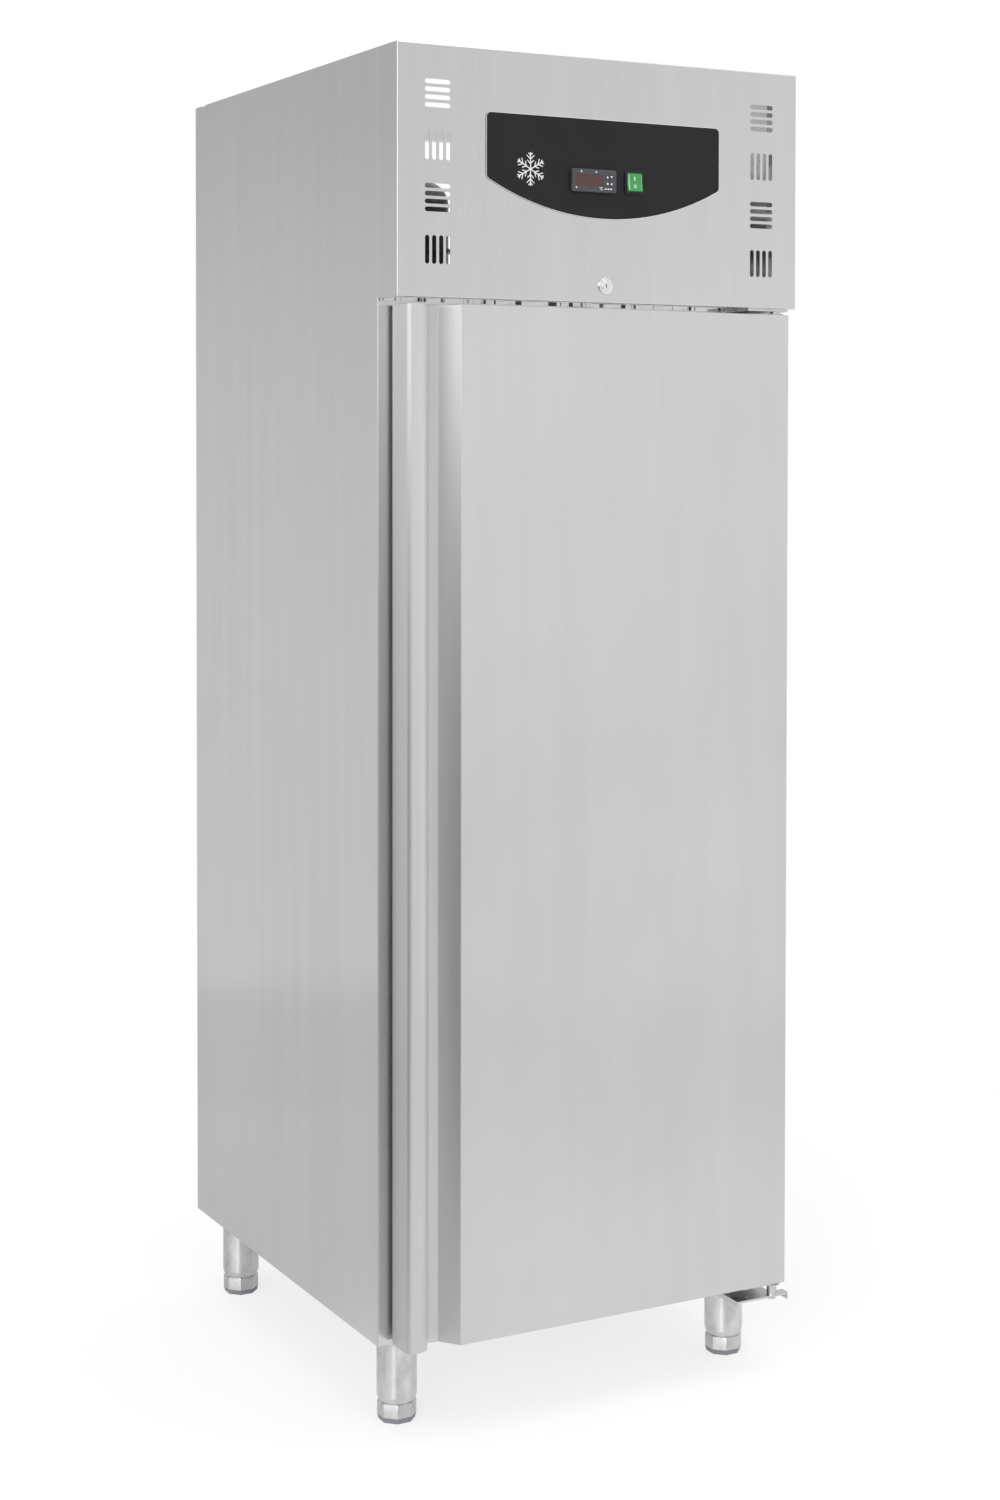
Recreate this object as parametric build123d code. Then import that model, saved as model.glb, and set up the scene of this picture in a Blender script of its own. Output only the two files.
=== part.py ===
from build123d import *
import math
import os

# A one-door upright commercial refrigerator of stainless sheet on four legs.
# Millimetres. X runs to the right, Y to the back and Z up, as seen from the front.
# The origin is on the floor, below the middle of the whole object.

# Overall sizes
overall_width = 680.0
body_depth = 800.0          # face of the head panel to the back
overall_height = 2010.0
leg_height = 130.0          # floor to the underside of the cabinet
head_height = 360.0         # machine compartment on top of the insulated cabinet
head_depth = 65.0           # how far the head stands in front of the cabinet
wall = 60.0                 # insulated wall with both of its skins

# Sheet metal
sheet = 0.8                 # cabinet and door skins
base_sheet = 1.2
rim_sheet = 1.5             # rails on top of the head
edge_return = 3.0           # narrow front fold of a side panel
side_fold_radius = 1.2
head_fold_radius = 2.0
top_flange = 20.0           # fold along the top of the head panel
side_flange = 11.0          # folds along the back of its side returns
rim_width = 18.0            # rails on top of the sides
rim_drop = 14.0
rim_back_gap = 45.0         # the side rails end this far ahead of the back
rear_rail_height = 30.0
rear_rail_width = 25.0
liner_radius = 15.0         # coved corners of the inner box

# Door
door_side_left = 19.0       # from the cabinet's left side to the door's left side
door_side_right = 10.0
door_gap = 8.0              # behind the door, filled by the gasket
door_stand = 62.0           # front of the door ahead of the cabinet's face
door_rise = 4.5             # bottom of the door above the underside of the cabinet
door_head_gap = 9.0         # top of the door below the head
door_cap = 6.0              # end caps at the top and bottom of the door
door_return = 12.0          # fold of the outer skin onto the back of the door

# Handle: a full-height nose pressed into the door skin, with a valley for the fingers
nose_width = 30.0
nose_slope = 16.0           # how far its inner side runs while it falls to the valley
valley_width = 16.0
valley_depth = 30.0
valley_rise = 22.5          # how far the outer side of the valley runs up to the door's face
nose_left_radius = 8.0
nose_right_radius = 20.0
valley_radius = 3.0
front_edge_radius = 2.0

# Raised field of the door's inner panel
field_margin = 8.0          # inside the opening of the cabinet
field_gap = 0.5             # its face ahead of the cabinet's face
field_radius = 12.0

# Gasket between the door and the cabinet
gasket_width = 16.0
gasket_margin = 8.0         # from the edge of the opening to the gasket
gasket_gap = 0.3            # to the cabinet's face, so that the magnet strip only kisses it
gasket_radius = 12.0
gasket_base = 2.0           # thickness of the strip clipped to the door
gasket_neck = 1.5
gasket_neck_inset = 3.5
gasket_bulb_inset = 1.0

# Hinges
hinge_from_side = 26.5      # hinge axis in from the cabinet's right side
hinge_ahead = 49.0          # hinge axis ahead of the cabinet's face
pin_radius = 5.0
pin_running_gap = 0.05
rest_gap = 0.3              # between pieces that move on one another
pin_in_door = 28.0
bush_radius = 7.5
bush_depth = 32.0           # how far a bush reaches into the door
bush_flange = 2.0
bush_flange_radius = 12.0
bracket_sheet = 3.0
bracket_drop = 15.0         # bottom bracket's plate below the cabinet
bracket_reach_left = 68.5   # left end of the bottom bracket, from the hinge axis
bracket_front = 57.0        # its front edge ahead of the cabinet's face
bracket_step = 2.0          # the riser's front, behind the cabinet's face
bracket_back = 88.0
bracket_flange_drop = 8.0
bracket_reach_right = 3.5   # where the arm narrows to the stop lug, from the hinge axis
lug_depth = 17.0            # the lug, front to back
lug_drop = 7.0
bracket_hole_radius = 2.2
bracket_hole_inset = 24.0   # sight hole in from the left end
pin_tail = 4.0              # riveted end of a pin behind its plate
pin_tail_radius = 6.5
door_plate_thickness = 2.5  # plate under the door that carries the lower bush
door_plate_left = 57.0      # its reach to the left of the hinge axis
door_plate_right = 12.0
door_plate_front = 9.0
door_plate_back = 34.0
top_bracket_thickness = 4.0
top_bracket_left = 56.0
top_bracket_right = 21.0
top_bracket_front = 9.5
top_bracket_leg = 32.0      # fold down the cabinet's face
top_bracket_leg_sheet = 3.0

# Screws of the hinge brackets
screw_radius = 2.5
screw_length = 14.0
screw_head_radius = 5.0
screw_head_height = 2.5
seat_gap = 0.1              # around pieces that are pressed or screwed into a hole

# Legs and levelling feet
leg_radius = 30.0
leg_wall = 1.5
leg_from_side = 53.0        # axis in from the cabinet's side
leg_from_face = 48.0        # front axis behind the cabinet's face
leg_from_back = 66.0
leg_bottom = 29.0           # lower end of the leg tube above the floor
leg_chamfer = 3.0
leg_chamfer_height = 9.0
leg_socket_height = 12.0    # threaded plug in the tube's lower end
leg_top_plate = 4.0
leg_stud_radius = 6.0
leg_stud_length = 14.0
foot_across = 54.0          # across the flats of the eight-sided foot
foot_cap_height = 8.0
foot_cap_taper = 2.0
foot_stem_radius = 12.0
foot_stem_top = 75.0

# Vents of the head panel: four blocks of slots a side, lying and standing by turns
vent_from_side = 64.0
vent_first_from_top = 70.0
vent_block_pitch = 74.0
vent_blocks = 4
slots_per_block = 4
slot_pitch = 11.15
slot_length = 41.0
slot_width = 6.8

# Control plate on the head panel
plate_half_width = 199.0
plate_top_drop = 90.0       # its top edge below the top of the head
plate_side_height = 95.0
plate_sag = 52.0            # how far the bowed lower edge drops below the sides
plate_thickness = 1.2
plate_radius = 8.0

# Temperature controller
controller_x = -22.2
controller_drop = 181.3     # its middle below the top of the head
controller_width = 74.8
controller_height = 33.6
controller_stand = 5.5      # face ahead of the control plate
controller_radius = 2.5
controller_body_width = 70.0
controller_body_height = 28.5
controller_body_depth = 52.0
window_x = -8.7             # display window's middle from the controller's middle
window_z = 0.3
window_width = 45.0
window_height = 17.6
window_depth = 2.0
window_sink = 0.4           # the window's face behind the controller's face
key_width = 5.4
key_height = 6.2
key_first_x = 21.8          # left column from the controller's middle
key_pitch_x = 6.8
key_upper_z = 6.4
key_lower_z = -3.7
key_stand = 0.6
key_travel = 0.8
key_depth = 4.0
key_gap = 0.3
cutout_gap = 0.5            # around bodies that drop into holes of the head panel

# Rocker switch
switch_x = 48.0
switch_drop = 180.2
switch_width = 32.0
switch_height = 35.0
switch_stand = 2.4          # bezel ahead of the control plate
switch_radius = 2.5
switch_body_width = 29.0
switch_body_height = 30.4
switch_body_depth = 20.0
rocker_width = 24.8
rocker_radius = 14.0
rocker_axle_radius = 1.5
rocker_pivot_depth = 3.0    # rocker axis behind the bezel's face
rocker_stand = 0.6          # the pressed half ahead of the bezel
rocker_angle = 12.0

# Door lock in the head panel
lock_rise = 25.0            # lock axis above the underside of the head
lock_radius = 12.0
lock_stand = 3.0
lock_body_radius = 10.5
lock_body_length = 22.0
plug_radius = 7.6
plug_proud = 1.0
keyway_length = 6.0
keyway_width = 1.4
keyway_depth = 8.0
tongue_reach = 43.0
tongue_width = 10.0
tongue_thickness = 3.0
tongue_side_gap = 1.5       # around the tongue in the slots that it swings through
tongue_end_gap = 3.0

# Inside the cabinet
shelf_side_gap = 8.5        # between a shelf and a runner's upright
shelf_front_gap = 60.0      # its front edge behind the cabinet's face
shelf_back_gap = 55.0       # behind the shelf, for the air
shelf_slots = (5, 13, 21)   # slots of the posts that carry the three shelves
frame_wire = 3.0            # radius of a shelf's frame wires
cross_wire = 2.5            # radius of its cross wires
deck_wire = 1.5             # radius of its thin wires
deck_wire_count = 19
cross_wire_count = 2
wire_sink = 1.0             # how deep the thin wires are welded into the ones below
post_width = 22.0
post_depth = 5.0
post_sheet = 1.2
post_bottom = 30.0          # above the inner floor
post_top = 190.0            # below the ceiling
post_front = 70.0           # front posts behind the cabinet's face
post_back = 110.0           # rear posts ahead of the inner back
post_slot_first = 20.0      # lowest slot above a post's foot
post_slot_pitch = 40.0
post_slot_height = 5.0
post_slot_width = 12.0
runner_sheet = 1.5
runner_shelf = 18.0         # width of the ledge that a shelf slides on
runner_upright = 16.0
runner_front = 40.0         # front end behind the cabinet's face
runner_hook_rise = 8.0      # its hooks above the ledge
runner_hook_length = 3.0
runner_hook_width = 10.0
runner_hook_height = 3.5
runner_stop = 12.0          # height of the stop at a runner's back end

# Evaporator unit under the ceiling
unit_half_width = 235.0
unit_front = 185.0          # its face behind the cabinet's face
unit_back_gap = 40.0        # its open back ahead of the inner back
unit_height = 170.0
unit_sheet = 1.0
evap_fan_radius = 66.0
evap_half_width = 200.0
evap_depth = 120.0
evap_back_gap = 80.0        # behind the coil, inside the unit
evap_drop = 14.0            # top of the fins below the ceiling
fin_rise = 12.0             # fins above the tray or deck

# Machine compartment
compressor_from_condenser = 165.0   # its middle left of the condenser
compressor_from_back = 300.0        # its middle ahead of the back
compressor_radius = 85.0
compressor_height = 205.0
compressor_dome_radius = 38.0
compressor_base_radius = 20.0
compressor_seam_stand = 4.0
compressor_seam_height = 6.0
compressor_seam_rise = 88.0
compressor_foot_sheet = 3.0
compressor_foot_reach = 108.0
compressor_foot_width = 34.0
compressor_foot_angle = 35.0
mount_place = 94.0          # rubber mounts from the compressor's middle
mount_height = 12.0
mount_radius = 13.0
mount_bolt_radius = 4.0
bolt_head_radius = 7.0
bolt_head_height = 5.0
terminal_width = 44.0
terminal_depth = 22.0       # how far the terminal cover stands off the shell
terminal_height = 58.0
terminal_rise = 95.0
condenser_from_side = 28.0  # its right end plate's place in from the cabinet's side
condenser_width = 252.0
condenser_from_back = 360.0 # its front ahead of the back
condenser_depth = 70.0
condenser_height = 275.0
shroud_depth = 40.0
shroud_sheet = 1.2
cond_fan_radius = 100.0
collar_length = 14.0
motor_length = 56.0
motor_radius = 38.0
evap_motor_length = 42.0
evap_motor_radius = 30.0
shaft_radius = 4.0
hub_radius = 20.0
hub_length = 22.0
cond_blade_chord = 62.0
evap_blade_chord = 42.0
cond_blade_forward = 2.0    # blade's middle ahead of the plate that holds the fan
evap_blade_forward = 14.0
fan_hole_gap = 5.0          # between a blade's tip and its hole
fan_ring_width = 9.0
fan_ring_thickness = 2.5
fan_arm_stand = 30.0        # arms and motor stand this far off the plate
fan_arm_count = 4
shaft_bore_depth = 15.0
blade_count = 5
blade_thickness = 2.0
blade_pitch = 28.0          # degrees
arm_width = 12.0
arm_thickness = 2.5
fin_pitch = 8.0
fin_gap = 5.0
fin_groove = 9.0
coil_tube_radius = 5.0
coil_bend_pitch = 25.0
coil_bend_reach = 12.5
coil_bend_radius = 12.0
coil_row_offset = 15.0      # tube rows ahead of and behind the coil's middle
end_plate = 2.0

# Pipes
suction_radius = 6.0
liquid_radius = 3.0
pipe_bend = 16.0
pipe_straight = 1.0         # shortest straight run before a bend
pipe_hole_radius = 8.0
pipe_spacing = 25.0         # between the suction and liquid pipes behind the compressor
suction_port_drop = 60.0    # suction port below the ceiling
suction_run_rise = 50.0     # its run in the machine compartment above the deck
suction_stub_offset = 25.0  # suction stub left of the compressor's middle
stub_reach = 20.0           # compressor stubs beyond the shell
stub_radius = 8.0
stub_run = 25.0             # from a stub's end to the pipe's next run
discharge_rise = 60.0       # discharge stub above the deck
discharge_port_drop = 40.0  # condenser's inlet below its top
liquid_port_drop = 35.0     # liquid port below the ceiling
liquid_run_rise = 30.0
drier_radius = 10.0
drier_length = 90.0
drier_from_condenser = 24.0 # its axis left of the condenser's end plate
drier_behind_condenser = 5.0
drain_from_unit_back = 35.0
drain_fall = 35.0           # from the drip tray to the run to the back
drain_radius = 9.0
drain_wall = 1.5
drain_bend = 22.0
drain_below = 25.0
drain_from_back = 30.0      # drain axis ahead of the outer back
junction_width = 92.0
junction_depth = 84.0
junction_height = 70.0
junction_from_side = 18.0
junction_from_back = 55.0
gland_radius = 10.0
gland_hex = 13.0
gland_length = 22.0
cord_hole_radius = 4.0

# Places worked out from the sizes
x_right = overall_width / 2
x_left = -x_right
controls_stand = plate_thickness + controller_stand + key_stand
y_head = -(body_depth + controls_stand) / 2 + controls_stand
y_face = y_head + head_depth
y_back = y_head + body_depth
z_base = leg_height
z_deck = overall_height - head_height
z_top = overall_height
z_side_top = z_top - rim_sheet

inner_x = x_right - wall
inner_floor = z_base + wall
inner_ceiling = z_deck - wall
inner_back = y_back - wall

door_left = x_left + door_side_left
door_right = x_right - door_side_right
door_bottom = z_base + door_rise
door_top = z_deck - door_head_gap
door_front = y_face - door_stand
door_rear = y_face - door_gap

hinge_x = x_right - hinge_from_side
hinge_y = y_face - hinge_ahead
bracket_top = z_base - bracket_drop
bracket_left = hinge_x - bracket_reach_left

plate_face = y_head - plate_thickness
controller_z = z_top - controller_drop
controller_face = plate_face - controller_stand
switch_z = z_top - switch_drop
switch_face = plate_face - switch_stand
rocker_y = switch_face + rocker_pivot_depth
lock_z = z_deck + lock_rise
tongue_y = y_head + lock_body_length + rest_gap


def block(x0, x1, y0, y1, z0, z1):
    """A box between two corners."""
    return Pos((x0 + x1) / 2, (y0 + y1) / 2, (z0 + z1) / 2) * Box(x1 - x0, y1 - y0, z1 - z0)


def rod_x(y, z, x0, x1, radius):
    """A round bar along X."""
    return Pos((x0 + x1) / 2, y, z) * Rot(0, 90, 0) * Cylinder(radius, x1 - x0)


def rod_y(x, z, y0, y1, radius):
    """A round bar along Y."""
    return Pos(x, (y0 + y1) / 2, z) * Rot(90, 0, 0) * Cylinder(radius, y1 - y0)


def rod_z(x, y, z0, z1, radius):
    """A round bar along Z."""
    return Pos(x, y, (z0 + z1) / 2) * Cylinder(radius, z1 - z0)


def group(solids):
    """Separate solids that share one node."""
    return Compound(children=list(solids))


def near(shapes, x, y):
    """Those corner points or upright edges that stand at one place in plan."""
    tolerance = 0.01
    return [s for s in shapes if math.hypot(s.center().X - x, s.center().Y - y) < tolerance]


def coved_box(grow):
    """The inner box, open at the cabinet's face, grown outwards by a skin."""
    shape = block(
        -inner_x - grow,
        inner_x + grow,
        y_face + sheet - (0 if grow else 1),
        inner_back + grow,
        inner_floor - grow,
        inner_ceiling + grow,
    )
    back = shape.faces().sort_by(Axis.Y)[-1]
    edges = shape.edges().filter_by(Axis.Y) + back.edges()
    return fillet(edges, liner_radius + grow)


def opening_cutter():
    """A bar through the front frame with the outline of the opening."""
    shape = block(-inner_x, inner_x, y_face - 1, y_face + sheet + 1, inner_floor, inner_ceiling)
    return fillet(shape.edges().filter_by(Axis.Y), liner_radius)


def leg_places():
    """Plan positions of the four legs: front left, front right, rear left, rear right."""
    side = x_right - leg_from_side
    front = y_face + leg_from_face
    rear = y_back - leg_from_back
    return {
        "front_left": (-side, front),
        "front_right": (side, front),
        "rear_left": (-side, rear),
        "rear_right": (side, rear),
    }


def hose(points, radius, bend):
    """A round pipe along straight runs with rounded bends."""
    path = FilletPolyline(*points, radius=bend)
    start = Plane(origin=path @ 0, z_dir=path % 0)
    return sweep(start * Circle(radius), path=path)


def mirrored(shape):
    """The same shape on the other side of the middle plane."""
    return mirror(shape, about=Plane.YZ)


# Pipe runs, named by what they carry; heights and depths follow the pieces they join
evap_back = inner_back - unit_back_gap - evap_back_gap
evap_front = evap_back - evap_depth
evap_y = (evap_front + evap_back) / 2
unit_bottom = inner_ceiling - unit_height
unit_front_y = y_face + unit_front
unit_back_y = inner_back - unit_back_gap
condenser_right = x_right - condenser_from_side
condenser_left = condenser_right - condenser_width
condenser_y0 = y_back - condenser_from_back
condenser_y1 = condenser_y0 + condenser_depth
condenser_y = (condenser_y0 + condenser_y1) / 2
compressor_x = condenser_left - compressor_from_condenser
compressor_y = y_back - compressor_from_back
compressor_bottom = z_deck + mount_height + compressor_foot_sheet

suction_x = evap_half_width + end_plate + pipe_bend + pipe_straight
suction_port_z = inner_ceiling - suction_port_drop
suction_run_z = z_deck + suction_run_rise
suction_stub_x = compressor_x - suction_stub_offset
suction_run_y = compressor_y + compressor_radius + stub_reach + stub_run
liquid_run_y = suction_run_y + pipe_spacing
liquid_port_z = inner_ceiling - liquid_port_drop
liquid_run_z = z_deck + liquid_run_rise
drier_x = condenser_left - end_plate - drier_from_condenser
drier_y0 = condenser_y1 + drier_behind_condenser
discharge_x = compressor_x + compressor_radius + stub_reach + stub_run
discharge_low_z = z_deck + discharge_rise
discharge_high_z = z_deck + condenser_height - discharge_port_drop

suction_points = (
    (evap_half_width + end_plate, evap_y, suction_port_z),
    (suction_x, evap_y, suction_port_z),
    (suction_x, suction_run_y, suction_port_z),
    (suction_x, suction_run_y, suction_run_z),
    (suction_stub_x, suction_run_y, suction_run_z),
    (suction_stub_x, compressor_y + compressor_radius + stub_reach, suction_run_z),
)
discharge_points = (
    (compressor_x + compressor_radius + stub_reach, condenser_y, discharge_low_z),
    (discharge_x, condenser_y, discharge_low_z),
    (discharge_x, condenser_y, discharge_high_z),
    (condenser_left - end_plate, condenser_y, discharge_high_z),
)
liquid_warm_points = (
    (condenser_left - end_plate, condenser_y, liquid_run_z),
    (drier_x, condenser_y, liquid_run_z),
    (drier_x, drier_y0, liquid_run_z),
)
liquid_cold_points = (
    (drier_x, drier_y0 + drier_length, liquid_run_z),
    (drier_x, liquid_run_y, liquid_run_z),
    (-suction_x, liquid_run_y, liquid_run_z),
    (-suction_x, liquid_run_y, liquid_port_z),
    (-suction_x, evap_y, liquid_port_z),
    (-evap_half_width - end_plate, evap_y, liquid_port_z),
)
drain_y = unit_back_y - drain_from_unit_back
drain_turn_z = unit_bottom - drain_fall
drain_points = (
    (0, drain_y, unit_bottom),
    (0, drain_y, drain_turn_z),
    (0, y_back - drain_from_back, drain_turn_z),
    (0, y_back - drain_from_back, z_base - drain_below),
)


def pipe_holes():
    """Where the two refrigerant pipes pass through the ceiling."""
    z0 = inner_ceiling - 1
    z1 = z_deck + 1
    suction = rod_z(suction_x, suction_run_y, z0, z1, pipe_hole_radius)
    liquid = rod_z(-suction_x, liquid_run_y, z0, z1, pipe_hole_radius)
    return suction + liquid


def drain_hole():
    """The channel of the drain pipe through the rear wall and the base."""
    return hose(drain_points, drain_radius + rest_gap, drain_bend)


def stud_holes():
    """Holes for the threaded studs of the legs."""
    z0 = z_base - 1
    z1 = z_base + leg_stud_length + 1
    radius = leg_stud_radius + rest_gap
    return [rod_z(x, y, z0, z1, radius) for x, y in leg_places().values()]


def make_side_panel():
    """Left outer side; its front edge is folded inwards over the whole height."""
    plate = block(x_left, x_left + sheet, y_face, y_back, z_base, z_side_top)
    fold = block(x_left, x_left + edge_return, y_face, y_face + sheet, z_base, z_side_top)
    panel = plate + fold
    return fillet(near(panel.edges().filter_by(Axis.Z), x_left, y_face), side_fold_radius)


def make_rear_panel():
    """Flat back of the insulated cabinet."""
    half = x_right - sheet
    return block(-half, half, y_back - sheet, y_back, z_base, z_deck)


def make_base_pan():
    """Underside of the cabinet, with holes for the legs and the drain."""
    half = x_right - sheet
    pan = block(-half, half, y_face + sheet, y_back - sheet, z_base, z_base + base_sheet)
    for hole in stud_holes():
        pan -= hole
    return pan - drain_hole()


def make_deck_plate():
    """Top of the insulated cabinet and floor of the machine compartment."""
    half = x_right - sheet
    plate = block(-half, half, y_face + sheet, y_back - sheet, z_deck - base_sheet, z_deck)
    return plate - pipe_holes()


def make_front_frame():
    """Flat frame round the opening of the cabinet."""
    half = x_right - edge_return
    return block(-half, half, y_face, y_face + sheet, z_base, z_deck) - opening_cutter()


def make_insulation():
    """Foam between the skins of the cabinet: floor, walls and top."""
    half = x_right - sheet
    foam = block(
        -half,
        half,
        y_face + sheet,
        y_back - sheet,
        z_base + base_sheet,
        z_deck - base_sheet,
    )
    foam = foam - coved_box(sheet) - pipe_holes() - drain_hole()
    foam = foam - stud_holes() - [screw_hole(*place) for place in hinge_screw_places()]
    low = inner_floor - sheet
    high = inner_ceiling + sheet
    layers = ((z_base, low), (low, high), (high, z_deck))
    return group([foam & block(x_left, x_right, y_face, y_back, z0, z1) for z0, z1 in layers])


def make_liner():
    """Inner box of the cabinet."""
    return coved_box(sheet) - coved_box(0) - pipe_holes() - drain_hole()


def slot_z(number):
    """Height of one slot of the posts."""
    return inner_floor + post_bottom + post_slot_first + number * post_slot_pitch


def post_places():
    """Middles of the front and rear posts, from front to back."""
    return (y_face + post_front, inner_back - post_back)


def make_rack_post(y):
    """One upright on the left wall, a channel with a row of slots."""
    z0 = inner_floor + post_bottom
    z1 = inner_ceiling - post_top
    outer = block(-inner_x, -inner_x + post_depth, y - post_width / 2, y + post_width / 2, z0, z1)
    half = post_width / 2 - post_sheet
    post = outer - block(-inner_x - 1, -inner_x + post_depth - post_sheet, y - half, y + half, z0, z1)
    count = int((z1 - z0 - post_slot_first) / post_slot_pitch)
    slots = []
    for number in range(count):
        z = slot_z(number)
        slots.append(
            block(
                -inner_x,
                -inner_x + post_depth + 1,
                y - post_slot_width / 2,
                y + post_slot_width / 2,
                z - post_slot_height / 2,
                z + post_slot_height / 2,
            )
        )
    return post - slots


def make_rack_posts():
    left = [make_rack_post(y) for y in post_places()]
    return group(left + [mirrored(post) for post in left])


shelf_back_y = inner_back - shelf_back_gap
shelf_front_y = y_face + shelf_front_gap
ledge_outer = inner_x - post_depth


def ledge_z(number):
    """Upper face of the ledge that carries one shelf."""
    return slot_z(shelf_slots[number]) - runner_hook_rise


def make_runner(number):
    """Left runner of one shelf: a ledge, an upright, a back stop and two hooks."""
    z = ledge_z(number)
    x0 = -ledge_outer
    x1 = x0 + runner_shelf
    y0 = y_face + runner_front
    y1 = shelf_back_y + rest_gap + runner_sheet
    ledge = block(x0, x1, y0, y1, z - runner_sheet, z)
    upright = block(x0, x0 + runner_sheet, y0, y1, z - runner_sheet, z + runner_upright)
    stop = block(x0, x1, y1 - runner_sheet, y1, z - runner_sheet, z + runner_stop)
    runner = ledge + upright + stop
    hook_z = z + runner_hook_rise
    for y in post_places():
        runner += block(
            x0 - runner_hook_length,
            x0 + runner_sheet,
            y - runner_hook_width / 2,
            y + runner_hook_width / 2,
            hook_z - runner_hook_height / 2,
            hook_z + runner_hook_height / 2,
        )
    return runner


def make_shelf_runners():
    left = [make_runner(number) for number in range(len(shelf_slots))]
    return group(left + [mirrored(runner) for runner in left])


def make_shelf(number):
    """One wire shelf: a round frame, two cross wires below and thin wires on top."""
    z = ledge_z(number) + rest_gap + frame_wire
    half = ledge_outer - runner_sheet - shelf_side_gap - frame_wire
    y0 = shelf_front_y + frame_wire
    y1 = shelf_back_y - frame_wire
    middle = (y0 + y1) / 2
    corner = 4 * frame_wire
    outline = Pos(0, middle, z) * RectangleRounded(2 * half, y1 - y0, corner)
    path = outline.wires()[0]
    start = Plane(origin=path @ 0, z_dir=path % 0)
    shelf = sweep(start * Circle(frame_wire), path=path)
    wires = []
    for index in range(cross_wire_count):
        y = y0 + (y1 - y0) * (index + 1) / (cross_wire_count + 1)
        wires.append(rod_x(y, z, -half, half, cross_wire))
    step = 2 * half / (deck_wire_count + 1)
    top = z + frame_wire + deck_wire - wire_sink
    for index in range(deck_wire_count):
        x = -half + step * (index + 1)
        wires.append(rod_y(x, top, y0, y1, deck_wire))
    return shelf + wires


def front_plane(y):
    """A drawing plane that faces the front: across is X, up is Z."""
    return Plane(origin=(0, y, 0), x_dir=(1, 0, 0), z_dir=(0, -1, 0))


def front_plate(sketch, y, thickness):
    """A flat piece drawn as seen from the front, with its back at one depth."""
    return extrude(front_plane(y) * sketch, thickness)


def screw(head_x, head_y, head_z, upward):
    """A pan-head screw whose head rests on a plate; it points up or to the back."""
    shape = Pos(0, 0, screw_length / 2) * Cylinder(screw_radius, screw_length)
    head = Pos(0, 0, -screw_head_height / 2) * Cylinder(screw_head_radius, screw_head_height)
    head = fillet(head.edges().sort_by(Axis.Z)[:1], screw_head_height / 2)
    shape += head
    turn = Rot(0, 0, 0) if upward else Rot(-90, 0, 0)
    return Pos(head_x, head_y, head_z) * turn * shape


def screw_hole(head_x, head_y, head_z, upward):
    """The hole that one such screw needs."""
    length = screw_length + rest_gap
    shape = Pos(0, 0, length / 2) * Cylinder(screw_radius + seat_gap, length)
    turn = Rot(0, 0, 0) if upward else Rot(-90, 0, 0)
    return Pos(head_x, head_y, head_z) * turn * shape


def hinge_screw_places():
    """Where the screws of both hinge brackets sit: x, y, z and whether they point up."""
    top_z = z_deck - 2 * top_bracket_leg / 3
    top_y = y_face - top_bracket_leg_sheet
    low_z = z_base - bracket_sheet
    near_edge = 2 * screw_head_radius
    return (
        (hinge_x - top_bracket_left + near_edge, top_y, top_z, False),
        (hinge_x - top_bracket_left / 2, top_y, top_z, False),
        (bracket_left + near_edge, y_face + bracket_back - near_edge, low_z, True),
        (bracket_left + near_edge, y_face + 2 * near_edge, low_z, True),
    )


def without_screws(shape):
    """The same shape with the hinge screws' holes."""
    return shape - [screw_hole(*place) for place in hinge_screw_places()]


def vent_slots():
    """The slots of both sides, as seen from the front."""
    slots = []
    for block_number in range(vent_blocks):
        z = z_top - vent_first_from_top - block_number * vent_block_pitch
        lying = block_number % 2 == 0
        for slot_number in range(slots_per_block):
            shift = (slot_number - (slots_per_block - 1) / 2) * slot_pitch
            for side in (-1, 1):
                x = side * (x_right - vent_from_side)
                if lying:
                    slots.append(Pos(x, z + shift) * SlotOverall(slot_length, slot_width))
                else:
                    slots.append(Pos(x + shift, z) * SlotOverall(slot_length, slot_width, rotation=90))
    return slots


def tongue_reach_at(drop):
    """How far the tongue's corner swings sideways at one drop below the lock's axis."""
    corner = math.hypot(tongue_reach, tongue_width / 2)
    return math.sqrt(max(corner**2 - drop**2, 0))


def tongue_slot(drop, z0, z1):
    """Room for the swinging tongue between two heights."""
    return block(
        -tongue_width / 2 - tongue_side_gap,
        tongue_reach_at(drop) + tongue_end_gap,
        tongue_y - tongue_side_gap,
        tongue_y + tongue_thickness + tongue_side_gap,
        z0,
        z1,
    )


def controller_cutout():
    """Hole for the controller's body."""
    width = controller_body_width + 2 * cutout_gap
    height = controller_body_height + 2 * cutout_gap
    return block(
        controller_x - width / 2,
        controller_x + width / 2,
        plate_face - 1,
        y_head + sheet + 1,
        controller_z - height / 2,
        controller_z + height / 2,
    )


def switch_cutout():
    """Hole for the rocker switch's body."""
    width = switch_body_width + 2 * cutout_gap
    height = switch_body_height + 2 * cutout_gap
    return block(
        switch_x - width / 2,
        switch_x + width / 2,
        plate_face - 1,
        y_head + sheet + 1,
        switch_z - height / 2,
        switch_z + height / 2,
    )


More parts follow.
